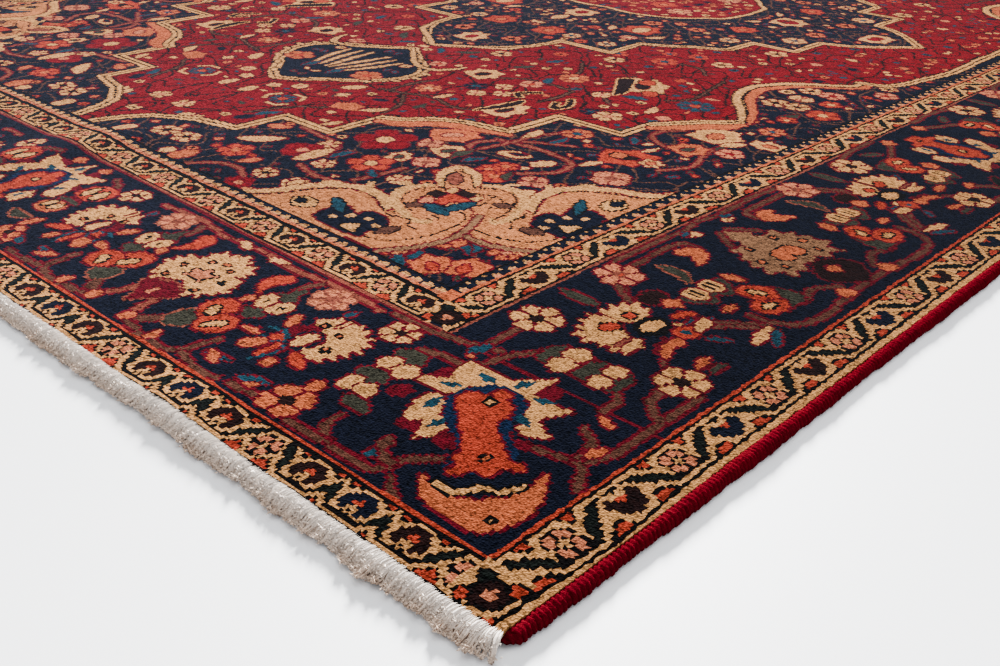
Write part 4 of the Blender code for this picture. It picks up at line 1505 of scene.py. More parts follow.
    def medallion(self, blooms: Blooms) -> None:
        """The central medallion: steps and lobes of ivory about navy, with a scalloped heart."""
        chart, motifs = self.chart, blooms.motifs
        inside = self.bordered(MEDALLION, 15.0, False)
        blooms.stems(Wool.VINE, 60.0, 3.0, inside, Wool.NAVY)
        heart = self.region([(0, 170), (60, 176), (120, 160), (165, 130), (190, 96), (214, 70), (220, 0)])
        chart.band(heart, Wool.RED)
        chart.stroke([(0, 172), (60, 178), (120, 162), (165, 132), (190, 98), (214, 72), (222, 0)], 9.0,
                     Wool.IVORY, Wool.BROWN)
        for spot, wool, inner in (
            (Spot(170, 285, 0), Wool.ORANGE, Wool.IVORY),
            (Spot(310, 0, 90), Wool.IVORY, Wool.RED),
        ):
            motifs.fan(spot, 84.0, 78.0, 6, wool)
            motifs.bud(spot, 42.0, 30.0, inner, Wool.MAROON)
        blooms.fans(Wool.ORANGE, Wool.PEACH, (290, 130, 40, 60, 52), (60, 420, 0, 76, 64),
                    (60, 60, 300, 60, 60))
        blooms.fans(Wool.IVORY, Wool.RED, (490, 8, 90, 66, 60), (0, 560, 0, 76, 60), (0, 250, 180, 80, 70))
        blooms.flowers(Wool.IVORY, Wool.TEAL, 6, (400, 135, 22), (195, 420, 17), (115, 420, 17),
                       (320, 225, 18))
        blooms.flowers(Wool.PEACH, Wool.BROWN, 5, (60, 520, 17), (400, 60, 18), (150, 220, 17),
                       (235, 200, 16))
        blooms.flowers(Wool.PINK, Wool.IVORY, 6, (120, 90, 26), (0, 0, 40), (190, 350, 15))
        blooms.leaves(Wool.IVORY, (130, 330, 330, 40), (212, 330, 30, 40), (0, 340, 0, 50),
                      (250, 60, 40, 36))
        blooms.sow(Wool.NAVY, 18.0, (Wool.IVORY, Wool.PEACH, Wool.ORANGE, Wool.TEAL), 13.0, inside)
        blooms.sow(Wool.NAVY, 11.0, (Wool.IVORY, Wool.PEACH), 8.0, inside)
        blooms.sow(Wool.RED, 16.0, (Wool.IVORY, Wool.PEACH, Wool.NAVY), 11.0, heart)


def draw_carpet() -> Chart:
    """Draw the whole quarter.

    Returns:
        The chart with every knot set.
    """
    chart = Chart()
    Field(chart).draw()
    Cornerpiece(chart).draw()
    Borders(chart).draw()
    return chart


def wander(x: Array, waves: Sequence[Wave]) -> Array:
    """A sum of sines that doesn't seem to repeat.

    Each wave adds height times the sine of rate times x plus bend times the sine of drift times x plus
    phase.
    """
    return np.sum([
        height * np.sin(rate * x + bend * np.sin(drift * x + phase))
        for height, rate, bend, drift, phase in waves
    ], axis=0)


def soft_bump(x: Array, y: Array, bump: dict[str, float]) -> Array:
    """Height of a rounded hump: the squared product of a cosine along x and one along y, zero outside."""
    u = np.clip((x - bump["x"]) / bump["half_width"], -1.0, 1.0)
    v = np.clip((y - bump["y"]) / bump["half_length"], -1.0, 1.0)
    return bump["height"] * (np.cos(0.5 * np.pi * u) * np.cos(0.5 * np.pi * v)) ** 2


def underside(x: Array, y: Array) -> Array:
    """Height of the carpet's underside over the floor."""
    return soft_bump(x, y, HUMP) + soft_bump(x, y, EDGE_LIFT)


def pile_top(x: Array, y: Array) -> Array:
    """Height of the pile: its thickness over the underside, a little wavy, lower at the rim."""
    wave = TOP_WAVE * np.sin(5.3 * x + 1.1) * np.cos(4.1 * y + 0.4)
    to_rim = np.minimum(PILE_HALF_WIDTH - np.abs(x), PILE_HALF_LENGTH - np.abs(y))
    drop = RIM_DROP * np.maximum(0.0, 1.0 - to_rim / RIM_ROUND) ** 2
    return underside(x, y) + BODY_THICKNESS + wave - drop


def ragged_ranges(starts: Array, counts: Array) -> Array:
    """Join the ranges that start at each of starts and hold counts numbers each."""
    ends = np.cumsum(counts)
    steps = np.arange(ends[-1]) - np.repeat(ends - counts, counts)
    return np.repeat(starts, counts) + steps


def make_piece(name: str, points: Array, loops: Array, counts: Array,
               smooth: bool = True) -> bpy.types.Object:
    """Make a mesh object from arrays.

    Args:
        name: Name of the piece.
        points: Its vertices, one row each.
        loops: The vertex numbers of its faces, one face after the other.
        counts: How many of them each face has.
        smooth: Whether its faces are shaded smooth.

    Returns:
        The object, at the origin.
    """
    mesh = bpy.data.meshes.new(name)
    mesh.vertices.add(len(points))
    mesh.vertices.foreach_set("co", np.asarray(points, np.float32).ravel())
    mesh.loops.add(len(loops))
    mesh.loops.foreach_set("vertex_index", np.asarray(loops, np.int32))
    mesh.polygons.add(len(counts))
    mesh.polygons.foreach_set("loop_start", np.asarray(np.cumsum(counts) - counts, np.int32))
    mesh.polygons.foreach_set("loop_total", np.asarray(counts, np.int32))
    mesh.update(calc_edges=True)
    mesh.polygons.foreach_set("use_smooth", np.full(len(counts), smooth))
    obj = bpy.data.objects.new(name, mesh)
    bpy.context.scene.collection.objects.link(obj)
    return obj


def grid_faces(rows: int, columns: int, closed: bool, first: int = 0) -> Array:
    """Quads between neighbouring points of a grid.

    Args:
        rows: Grid rows.
        columns: Points in a row.
        closed: Whether each row's last point joins its first.
        first: Number of the grid's first point.

    Returns:
        Four vertex numbers a row, anticlockwise seen from the side where rows rise and columns go right.
    """
    i = np.arange(rows - 1)[:, None]
    j = np.arange(columns if closed else columns - 1)[None, :]
    right = (j + 1) % columns
    corners = [i * columns + j, i * columns + right, (i + 1) * columns + right, (i + 1) * columns + j]
    return first + np.stack([np.broadcast_to(c, (rows - 1, j.size)) for c in corners], -1).reshape(-1, 4)


def paint_faces(obj: bpy.types.Object, colours: Array) -> None:
    """Give each face a colour, kept in the attribute that the pile's material reads."""
    layer = obj.data.attributes.new("wool", "FLOAT_COLOR", "FACE")
    layer.data.foreach_set("color", np.asarray(colours, np.float32).ravel())


def lay_out_flat(obj: bpy.types.Object) -> None:
    """Add a plan-view UV map that fills the square."""
    mesh = obj.data
    points = np.empty(len(mesh.vertices) * 3, np.float32)
    mesh.vertices.foreach_get("co", points)
    plan = points.reshape(-1, 3)[:, :2]
    low, high = plan.min(0), plan.max(0)
    corners = np.empty(len(mesh.loops), np.int32)
    mesh.loops.foreach_get("vertex_index", corners)
    layer = mesh.uv_layers.new(name="OFBake")
    layer.data.foreach_set("uv", ((plan - low) / (high - low))[corners].ravel())


@dataclass
class PileQuarter:
    """The cut pile of one quarter: a surface of flat runs of one wool, a knot wide each.

    Every face is one run of equal knots in a row. Its corners are shared with the runs of the rows
    before and after it, so the surface has no cracks.
    """

    name: str
    chart: Chart
    side: float
    end: float
    longest_run: int = 24        # knots a run can have where the carpet lies flat
    lifted_run: int = 4          # knots a run can have where it is lifted
    skirt: float = 0.0052        # how far the cut side of the pile reaches down to the back
    uneven: float = 1.15         # how far a knot's corner can stray, in millimetres
    ragged_end: float = 0.7      # the same on the rim, as a share of it
    ragged_side: float = 1.5
    painted_wall_light: float = 1.8        # painted light: how much paler the tufts of the cut side's wall are painted

    def stray(self, x: Array, y: Array) -> tuple[Array, Array]:
        """A slow wander of the rows and columns, different in each quarter, none at the middle of a rim."""
        calm_x = np.cos(0.5 * np.pi * x / PILE_HALF_WIDTH)
        calm_y = np.cos(0.5 * np.pi * y / PILE_HALF_LENGTH)
        shift_x = 0.0016 * np.sin(9.1 * y + 2.0 * x + 0.7) + 0.0006 * np.sin(41.0 * y + 11.0 * x)
        shift_y = 0.0016 * np.sin(7.7 * x - 1.6 * y + 2.1) + 0.0006 * np.sin(37.0 * x - 9.0 * y)
        return x + shift_x * np.sqrt(np.abs(calm_x)), y + shift_y * np.sqrt(np.abs(calm_y))

    def place(self, lines: Array, columns: Array) -> tuple[Array, Array]:
        """World x and y of the corner between knots where a row line crosses a column line.

        A fixed random offset moves each corner inside the carpet, so the knots differ in size. On the
        rim it moves them only inwards, so the rim is a little ragged.
        """
        rng = np.random.default_rng(int(4 + 2 * self.side + self.end))
        shake = rng.uniform(-self.uneven, self.uneven, (2, self.chart.rows + 1, self.chart.columns + 1))
        shake[:, 0] = 0.0
        shake[:, :, 0] = 0.0
        shake[:, -1] = -self.ragged_end * np.abs(shake[:, -1])
        shake[:, :, -1] = -self.ragged_side * np.abs(shake[:, :, -1])
        across = columns * self.chart.step_u + shake[0][lines, columns]
        along = lines * self.chart.step_v + shake[1][lines, columns]
        u, v = self.chart.warp.moved(across, along)
        u = np.minimum(u * MILLIMETRE, PILE_HALF_WIDTH)
        v = np.minimum(v * MILLIMETRE, PILE_HALF_LENGTH)
        return self.stray(self.side * u, self.end * v)

    def build(self) -> bpy.types.Object:
        """Build the quarter.

        A row is cut into runs where its wool changes. The corners of a run are the cuts of its own row
        and of the next one, so neighbours share them. A wall round the rim, with its own vertices and
        flat faces, is the cut side of the pile.

        Returns:
            The finished mesh object with its colours.
        """
        knots = self.chart.knots
        rows, columns = knots.shape
        cuts = np.zeros((rows, columns + 1), bool)
        cuts[:, 1:-1] = knots[:, 1:] != knots[:, :-1]
        cuts[:, :: self.longest_run] = True
        x = self.side * self.chart.flat_u * MILLIMETRE
        y = self.end * self.chart.flat_v * MILLIMETRE
        cuts[:, : -1 : self.lifted_run] |= (underside(x, y) > FLAT)[:, :: self.lifted_run]
        cuts[:, [0, -1]] = True
        corners = np.zeros((rows + 1, columns + 1), bool)
        corners[:-1] |= cuts
        corners[1:] |= cuts
        keys = np.flatnonzero(corners.ravel())
        width = columns + 1
        lines, across = np.divmod(keys, width)

        starts = np.flatnonzero(cuts[:, :-1].ravel())
        run_row, run_first = np.divmod(starts, columns)
        cut_place = np.flatnonzero(cuts.ravel()) % width
        run_last = cut_place[cut_place > 0]
        turned = self.side * self.end < 0.0
        near_row, far_row = (run_row + 1, run_row) if turned else (run_row, run_row + 1)
        near_low = np.searchsorted(keys, near_row * width + run_first)
        near_high = np.searchsorted(keys, near_row * width + run_last)
        far_low = np.searchsorted(keys, far_row * width + run_first)
        far_high = np.searchsorted(keys, far_row * width + run_last)
        near_count, far_count = near_high - near_low + 1, far_high - far_low + 1
        counts = near_count + far_count
        offsets = np.cumsum(counts) - counts
        loops = np.empty(counts.sum(), np.int64)
        loops[ragged_ranges(offsets, near_count)] = ragged_ranges(near_low, near_count)
        backwards = np.repeat(far_low + far_high, far_count) - ragged_ranges(far_low, far_count)
        loops[ragged_ranges(offsets + near_count, far_count)] = backwards

        x, y = self.place(lines, across)
        top = np.column_stack([x, y, pile_top(x, y)])
        wools = knots[run_row, run_first]
        rim = np.concatenate([np.flatnonzero(lines == rows), np.flatnonzero(across == columns)[::-1]])
        rim_wools = np.concatenate(
            [knots[rows - 1, np.minimum(across[lines == rows], columns - 1)],
             knots[np.minimum(lines[across == columns], rows - 1), columns - 1][::-1]]
        )
        low = top[rim].copy()
        low[:, 2] = underside(low[:, 0], low[:, 1]) + BODY_THICKNESS - EDGE_DROP - self.skirt
        parted = rim[:-1] != rim[1:]
        side_faces = grid_faces(2, len(rim), False, len(top))[parted]
        side_wools = rim_wools[:-1][parted]
        if not turned:
            side_faces = side_faces[:, ::-1]
        obj = make_piece(
            self.name,
            np.vstack([top, low, top[rim]]),
            np.concatenate([loops, side_faces.ravel()]),
            np.concatenate([counts, np.full(len(side_faces), 4)]),
        )
        obj.data.polygons.foreach_set("use_smooth", np.arange(len(obj.data.polygons)) < len(counts))
        dyes = np.array([(*DYES[wool], 1.0) for wool in Wool])
        # Painted light: the wall of the cut side, which stands in shade, is painted paler than its wool.
        wall_painted_lighter = np.minimum(dyes[side_wools] * self.painted_wall_light, 1.0)
        paint_faces(obj, np.vstack([dyes[wools], wall_painted_lighter]))
        lay_out_flat(obj)
        return obj


@dataclass
class Backing:
    """The woven back: a closed thin slab under the pile."""

    columns: int = 40
    rows: int = 62
    inset: float = 0.0006

    def build(self) -> bpy.types.Object:
        """Build the slab: one grid for its upper side, one for its lower, joined round the rim."""
        x, y = np.meshgrid(
            np.linspace(-1.0, 1.0, self.columns) * (PILE_HALF_WIDTH - self.inset),
            np.linspace(-1.0, 1.0, self.rows) * (PILE_HALF_LENGTH - self.inset),
        )
        floor = underside(x, y)
        lower = np.stack([x, y, floor], -1).reshape(-1, 3)
        upper = np.stack([x, y, floor + FOUNDATION], -1).reshape(-1, 3)
        faces = grid_faces(self.rows, self.columns, False)
        count = len(lower)
        ring = np.concatenate([
            np.arange(self.columns),
            np.arange(1, self.rows) * self.columns + self.columns - 1,
            (self.rows - 1) * self.columns + np.arange(self.columns - 2, -1, -1),
            np.arange(self.rows - 2, 0, -1) * self.columns,
        ])
        beyond = np.roll(ring, -1)
        wall = np.stack([ring, beyond, beyond + count, ring + count], -1)
        quads = np.vstack([faces[:, ::-1], faces + count, wall])
        return make_piece(
            "woven_back", np.vstack([lower, upper]), quads.ravel(), np.full(len(quads), 4), smooth=False
        )


@dataclass
class Selvedge:
    """An overcast side: turns of wool wound side by side over the outer warps."""

    name: str
    side: float
    turn_pitch: float = 0.0044
    stations_per_turn: int = 4
    around: int = 8
    ridge: float = 0.0017
    crown: float = 0.0088        # height of the turns' crests
    round_off: float = 0.014     # how long the winding's ends taper
    tuck: float = 0.0016         # how far the winding reaches in under the pile's rim

    def build(self) -> bpy.types.Object:
        """Build the winding.

        The section is an oval with a flat foot, its inner half stretched to a shoulder that reaches in
        under the pile's rim. Its size swells along each turn by the absolute value of a sine, and the
        turns lean, so the ridges cross the edge aslant. It wanders by slow waves and tapers at its ends.

        Returns:
            The finished mesh object.
        """
        turns = round(2.0 * PILE_HALF_LENGTH / self.turn_pitch)
        rows = turns * self.stations_per_turn + 1
        y = np.linspace(-PILE_HALF_LENGTH, PILE_HALF_LENGTH, rows)[:, None]
        angle = np.linspace(-0.25 * np.pi, 1.25 * np.pi, self.around)[None, :]
        half = 0.5 * SELVEDGE_WIDTH
        slow = 0.0005 * np.sin(np.pi * SELVEDGE_WAVES * y / PILE_HALF_LENGTH)
        uneven = wander(y, SELVEDGE_UNEVEN)
        phase = np.pi * (y / self.turn_pitch + 0.30 * np.cos(angle) + 0.5 * np.sin(23.0 * y))
        swell = self.ridge * (np.abs(np.sin(phase)) - 1.0)
        taper = 1.0 - 0.55 * (1.0 - ease(PILE_HALF_LENGTH - np.abs(y), 0.0, self.round_off)) ** 2.0
        outer = np.cos(angle) > 0.0
        outward = np.cos(angle) * np.where(outer, (2.0 * half + swell) * taper - half,
                                           half + GAP + self.tuck)
        swing = (slow + uneven) * (0.5 + 0.5 * np.cos(angle))
        x = self.side * (PILE_HALF_WIDTH + GAP + half + outward + swing)
        middle = 0.40 * self.crown
        arch = np.sign(np.sin(angle)) * np.abs(np.sin(angle)) ** np.where(outer, 1.0, 0.30)
        z = middle + arch * (self.crown * taper - middle + swell + slow + 0.5 * uneven)
        z = np.maximum(z, 0.0) + underside(x, y)
        points = np.stack([x, np.broadcast_to(y, x.shape), z], -1).reshape(-1, 3)
        quads = grid_faces(rows, self.around, True)
        near_cap = np.arange(self.around)
        far_cap = near_cap + (rows - 1) * self.around
        if self.side > 0.0:
            quads, far_cap = quads[:, ::-1], far_cap[::-1]
        else:
            near_cap = near_cap[::-1]
        loops = np.concatenate([quads.ravel(), near_cap, far_cap])
        counts = np.concatenate([np.full(len(quads), 4), [self.around, self.around]])
        obj = make_piece(self.name, points, loops, counts)
        # The turn attribute is 1 on the crests of the turns and 0 in the grooves; the material uses it to
        # paint the crests lighter and the grooves darker.
        layer = obj.data.attributes.new("turn", "FLOAT", "POINT")
        layer.data.foreach_set("value", np.abs(np.sin(phase)).ravel().astype(np.float32))
        return obj


@dataclass
class Fringe:
    """The warp ends of one short side: fat yarns side by side that curl to the floor and fray out."""

    name: str
    end: float
    seed: int
    yarns: int = 1400
    sides: int = 3
    stations: int = 6
    fray: int = 15                   # loose fibres for each yarn
    yarn_radius: float = 0.00170
    root_inside: float = 0.0022      # how far the yarns start inside the pile's end
    scatter: tuple[float, float, float] = (0.0014, 0.0010, 0.0005)
    hair_rise: float = 0.0008
    hair_lengths: tuple[float, float] = (0.0014, 0.0032)
    hair_heights: tuple[float, float] = (0.0004, 0.0100)
    hair_radius: float = 0.00075

    def centre_lines(self, rng: np.random.Generator) -> tuple[Array, Array, Array]:
        """Paths of the yarns.

        Each yarn leaves the back, arches over by a sine and comes down on the floor. Neighbours lean
        together in tufts and reach further out in lumps, by sums of waves along the edge, and at the
        corners they fan out sideways.

        Returns:
            Points (yarn, station, xyz), radii (yarn, station) and the share of the length at stations.
        """
        share = np.linspace(0.0, 1.0, self.stations)[None, :]
        root = np.linspace(-1.0, 1.0, self.yarns)[:, None] * (PILE_HALF_WIDTH - 0.001)
        lump = 0.5 + wander(root, [(0.5, 560.0, 2.6, 88.0, self.seed)])
        lump = lump * (0.6 + wander(root, [(0.4, 203.0, 4.0, 37.0, 0.0)]))
        lean = wander(root, FRINGE_TUFTS) + rng.normal(0.0, 0.0009, (self.yarns, 1))
        wave = 0.5 + 0.28 * np.sin(root * 13.0 + 2.0 * np.sin(root * 5.0) + self.seed)
        wave = wave + wander(root, [(0.30, 47.0, 3.0, 11.0, self.seed), (0.16, 171.0, 2.0, 31.0, 0.0)])
        corner = ease(np.abs(root), PILE_HALF_WIDTH - 0.014, PILE_HALF_WIDTH)
        odd = rng.uniform(-0.06, 0.06, (self.yarns, 1))
        reach = FRINGE_REACH * (0.58 + 0.24 * wave + 0.18 * lump + odd)
        reach = reach * (1.0 - 0.22 * corner)
        lift = underside(root, self.end * PILE_HALF_LENGTH)
        out = reach * share - self.root_inside * (1.0 - share)
        arch = 0.0026 + 0.0010 * wave + rng.uniform(-0.0004, 0.0004, (self.yarns, 1))
        rise = 0.0046 + arch * np.sin(np.pi * np.minimum(share * 1.05 + 0.16, 1.0)) ** 0.8
        fall = ease(share, 0.45, 1.0)
        landing = 0.0019 + 0.0030 * lump + 0.2 * lift
        height = (rise + lift * (1.0 - 0.45 * share)) * (1.0 - fall) + fall * landing
        wobble = 0.0005 * np.sin(share * 9.0 + rng.uniform(0.0, 6.3, (self.yarns, 1)))
        x = root + lean * share**1.4 + wobble * share + 0.0085 * np.sign(root) * corner * share
        y = self.end * (PILE_HALF_LENGTH + out)
        radius = self.yarn_radius * (1.0 - 0.15 * share) * rng.uniform(0.85, 1.15, (self.yarns, 1))
        return np.stack([x, y, height], -1), radius, share

    def tubes(self, lines: Array, radius: Array, sides: int) -> tuple[Array, Array]:
        """Carry a small polygon along each path.

        The polygon stands across the carpet's length, its points at equal angles, and shrinks with the
        radius.

        Returns:
            The vertices and the quads.
        """
        many, stations = lines.shape[:2]
        angle = np.linspace(0.0, 2.0 * np.pi, sides, endpoint=False)
        slope = np.gradient(lines, axis=1)
        slope /= np.maximum(np.linalg.norm(slope, axis=-1, keepdims=True), 1e-9)
        across = np.cross(slope, (0.0, 0.0, 1.0))
        across /= np.maximum(np.linalg.norm(across, axis=-1, keepdims=True), 1e-9)
        over = np.cross(across, slope)
        ring = (
            across[:, :, None] * np.cos(angle)[None, None, :, None]
            + over[:, :, None] * np.sin(angle)[None, None, :, None]
        )
        points = lines[:, :, None] + ring * radius[:, :, None, None]
        points[..., 2] = np.maximum(points[..., 2], 0.0002)
        quads = grid_faces(stations, sides, True)[:, ::-1]
        block = stations * sides
        all_quads = quads[None] + (np.arange(many) * block)[:, None, None]
        return points.reshape(-1, 3), all_quads.reshape(-1, 4)

    def build(self) -> bpy.types.Object:
        """Build the yarns and the loose fibres they fray into, which are three-sided points.

        Returns:
            The finished mesh object.
        """
        rng = np.random.default_rng(self.seed)
        lines, radius, _ = self.centre_lines(rng)
        points, quads = self.tubes(lines, radius, self.sides)
        many = self.yarns * self.fray
        yarn = np.repeat(np.arange(self.yarns), self.fray)
        spot = (self.stations - 1.001) * (1.0 - 0.62 * rng.uniform(0.0, 1.0, many) ** 1.3)
        before = spot.astype(int)
        rest = (spot - before)[:, None]
        start = (lines[yarn, before] * (1.0 - rest) + lines[yarn, before + 1] * rest)[:, None]
        share = np.array([0.0, 1.0])[None, :, None]
        start = start + rng.normal(0.0, 1.0, (many, 1, 3)) * np.array(self.scatter)
        start[..., 2] += self.hair_rise
        way = rng.normal(0.0, 1.0, (many, 1, 3)) * np.array([1.0, 0.8, 0.6])
        way = way + np.array([0.0, 0.8 * self.end, 0.55])
        way /= np.linalg.norm(way, axis=-1, keepdims=True)
        hairs = start + way * share * rng.uniform(*self.hair_lengths, (many, 1, 1))
        hairs[..., 2] = np.clip(hairs[..., 2], *self.hair_heights)
        thick = np.broadcast_to(self.hair_radius * (1.0 - share[..., 0]), hairs.shape[:2])
        hair_points, _ = self.tubes(hairs, thick, 3)
        hair_points = hair_points.reshape(many, 6, 3)[:, :4]
        first = len(points) + 4 * np.arange(many)[:, None, None]
        spikes = first + np.array([[1, 0, 3], [2, 1, 3], [0, 2, 3]])[None]
        all_points = np.vstack([points, hair_points.reshape(-1, 3)])
        loops = np.concatenate([quads.ravel(), spikes.ravel()])
        counts = np.concatenate([np.full(len(quads), 4), np.full(3 * many, 3)])
        obj = make_piece(self.name, all_points, loops, counts)
        layer = obj.data.attributes.new("yarn", "FLOAT", "POINT")
        per_yarn = np.repeat(rng.uniform(0.0, 1.0, self.yarns), self.stations * self.sides)
        per_hair = np.repeat(rng.uniform(0.0, 1.0, many), 4)
        layer.data.foreach_set("value", np.concatenate([per_yarn, per_hair]).astype(np.float32))
        return obj


class Wire:
    """A shader socket that adds nodes when it is used in a Python expression."""

    def __init__(self, tree: "Nodes", socket: bpy.types.NodeSocket) -> None:
        """Wrap a socket of a node tree."""
        self.tree, self.socket = tree, socket

    def maths(self, operation: str, *values: "Wire | float") -> "Wire":
        """Add a Math node on numbers or other wires."""
        return self.tree.node("ShaderNodeMath", {"operation": operation}, dict(enumerate(values)))

    def __add__(self, other: "Wire | float") -> "Wire":
        """Sum."""
        return self.maths("ADD", self, other)

    def __sub__(self, other: "Wire | float") -> "Wire":
        """Difference."""
        return self.maths("SUBTRACT", self, other)

    def __rsub__(self, other: float) -> "Wire":
        """Difference from a number."""
        return self.maths("SUBTRACT", other, self)

    def __mul__(self, other: "Wire | float") -> "Wire":
        """Product."""
        return self.maths("MULTIPLY", self, other)

    def __pow__(self, other: float) -> "Wire":
        """Power."""
        return self.maths("POWER", self, other)

    def at_least(self, least: float) -> "Wire":
        """The larger of the wire and a number."""
        return self.maths("MAXIMUM", self, least)

    __radd__ = __add__
    __rmul__ = __mul__


class Nodes:
    """A material's node tree and the one method that adds nodes to it."""

    def __init__(self, name: str) -> None:
        """Start a material with a Principled shader."""
        self.material = bpy.data.materials.new(name)
        self.material.use_nodes = True
        self.tree = self.material.node_tree
        self.shader = self.tree.nodes["Principled BSDF"]

    def node(self, kind: str, settings: dict, inputs: dict, output: int | str = 0) -> Wire:
        """Add a node.

        Args:
            kind: Its type.
            settings: Its own settings, set first.
            inputs: Values or wires by socket name or number.
            output: Which output to use.

        Returns:
            That output.
        """
        made = self.tree.nodes.new(kind)
        for key, value in settings.items():
            setattr(made, key, value)
        for key, value in inputs.items():
            self.feed(made.inputs[key], value)
        return Wire(self, made.outputs[output])

    def feed(self, socket: bpy.types.NodeSocket, value: object) -> None:
        """Link a wire to a socket, or set its value."""
        if isinstance(value, Wire):
            self.tree.links.new(value.socket, socket)
        elif isinstance(value, tuple) and len(value) == 3 and socket.type == "RGBA":
            socket.default_value = (*value, 1.0)
        else:
            socket.default_value = value

    def finish(self, **values: object) -> bpy.types.Material:
        """Set the Principled shader's sockets, underscores for spaces, and return the material."""
        for key, value in values.items():
            self.feed(self.shader.inputs[key.replace("_", " ")], value)
        return self.material

    def place(self) -> Wire:
        """Object coordinates."""
        return self.node("ShaderNodeTexCoord", {}, {}, "Object")

    def stretched(self, vector: Wire, scale: tuple[float, float, float]) -> Wire:
        """A vector times a scale on each axis."""
        return self.node("ShaderNodeVectorMath", {"operation": "MULTIPLY"}, {0: vector, 1: scale})

    def noise(self, vector: Wire, scale: float, detail: float = 2.0, rough: float = 0.5) -> Wire:
        """Soft noise from 0 to 1."""
        return self.node(
            "ShaderNodeTexNoise", {}, {"Vector": vector, "Scale": scale, "Detail": detail,
                                       "Roughness": rough}
        )

    def blend(self, share: Wire, first: object, second: object) -> Wire:
        """Mix two colours."""
        settings = {"data_type": "RGBA", "blend_type": "MIX"}
        return self.node("ShaderNodeMix", settings, {0: share, 6: first, 7: second}, 2)

    def attribute(self, name: str, output: str = "Fac") -> Wire:
        """A mesh attribute, as a number or as a colour."""
        return self.node("ShaderNodeAttribute", {"attribute_name": name}, {}, output)

    def axis(self, vector: Wire, name: str) -> Wire:
        """One coordinate of a vector."""
        return self.node("ShaderNodeSeparateXYZ", {}, {"Vector": vector}, name)

    def ramp(self, value: Wire, start: float, end: float, low: float, high: float) -> Wire:
        """A straight ramp: low at start, high at end, level beyond both."""
        inputs = {"Value": value, "From Min": start, "From Max": end, "To Min": low, "To Max": high}
        return self.node("ShaderNodeMapRange", {"clamp": True}, inputs)

    def bands(self, vector: Wire, period: float, distortion: float, **more: float) -> Wire:
        """Soft bands across the carpet, one after the other along y."""
        settings = {"wave_type": "BANDS", "bands_direction": "Y", "wave_profile": "SIN"}
        inputs = {"Vector": vector, "Scale": BAND_PERIOD / period, "Distortion": distortion}
        inputs.update({key.replace("_", " "): value for key, value in more.items()})
        return self.node("ShaderNodeTexWave", settings, inputs)

    def cells(self, vector: Wire, size: float, output: str) -> Wire:
        """Irregular cells of a size: the distance to their middles, or a random colour for each."""
        return self.node("ShaderNodeTexVoronoi", {"feature": "F1"}, {"Vector": vector, "Scale": 1.0 / size},
                         output)

    def shade(self, colour: object, level: Wire) -> Wire:
        """A colour times a level."""
        return self.node("ShaderNodeVectorMath", {"operation": "SCALE"}, {0: colour, "Scale": level})

    def bump(self, height: Wire, distance: float, strength: float = 1.0) -> Wire:
        """A normal from a height."""
        return self.node("ShaderNodeBump", {}, {"Height": height, "Distance": distance,
                                                "Strength": strength})


@dataclass(frozen=True)
class PileFinish:
    """Cut wool: little tufts, each knot with its own shade, in rows with faint lines between them.

    Painted shade darkens the gaps between tufts and the right border; a painted sheen pales the other half.
    """

    tuft: float = 0.0012         # height of the tufts in the bump
    tuft_size: float = 0.0018
    knot_size: float = 0.0034
    row_pitch: float = 0.0064
    knot_shade: float = 0.56     # how much the knots of one wool differ
    gap: float = 0.8             # painted shade: how dark the gaps between tufts are painted
    sheen: float = 0.012
    painted_shade_right: float = 0.66       # painted shade: how much darker the right border is painted
    painted_sheen_veil: float = 0.012        # painted sheen: how much pale blue is mixed into the colour towards the carpet's other half

    def make(self) -> bpy.types.Material:
        """Build the material."""
        nodes = Nodes("cut_wool")
        place = nodes.place()
        wool = nodes.attribute("wool", "Color")
        tufts = nodes.cells(nodes.stretched(place, (1.0, 1.0, 0.2)), self.tuft_size, "Distance")
        own = nodes.cells(nodes.stretched(place, (1.0, 1.0, 0.0)), self.knot_size, "Color")
        own = nodes.node("ShaderNodeSeparateColor", {}, {"Color": own}, "Red")
        lot = nodes.noise(nodes.stretched(place, (0.35, 6.0, 0.0)), 1.6, 3.0)
        wear = nodes.noise(place, 3.1, 3.0, 0.6)
        rows = nodes.bands(place, self.row_pitch, 0.8, Detail_Scale=40.0)
        fibre = nodes.noise(place, 760.0, 2.0, 0.7)
        fluff = nodes.noise(place, 420.0, 2.0, 0.6)
        # Painted shade and light: the colour is darker in the gaps between the tufts and lighter at their
        # middles.
        gap = (tufts - 0.42) * self.gap
        level = 0.80 + (own - 0.5) * self.knot_shade + (lot - 0.5) * 0.34 + (wear - 0.5) * 0.30
        level = level + (fibre - 0.5) * 0.9 + (fluff - 0.5) * 1.0 + (rows - 0.5) * 0.12 - gap
        across = nodes.axis(place, "X")
        # Painted sheen: a pale blue veil is mixed into the wool colour, growing towards the carpet's other
        # half.
        wool_with_painted_sheen = nodes.blend(nodes.ramp(across, 0.75, -0.10, 0.0, self.painted_sheen_veil), wool, (0.26, 0.29, 0.40))
        # Painted shade: the base colour is ramped darker over the right border.
        right_shade_ramp = nodes.ramp(across, 0.66, 0.90, 1.0, self.painted_shade_right)
        height = (1.0 - tufts) * 0.8 + fibre * 0.5 + fluff * 0.5
        return nodes.finish(
            Base_Color=nodes.shade(wool_with_painted_sheen, level.at_least(0.10) * right_shade_ramp * 1.04),
            Roughness=0.80,
            Normal=nodes.bump(height, self.tuft, 0.8),
            Specular_IOR_Level=0.0,
            Sheen_Weight=self.sheen,
            Sheen_Roughness=0.35,
            Sheen_Tint=(0.80, 0.88, 1.0, 1.0),
        )


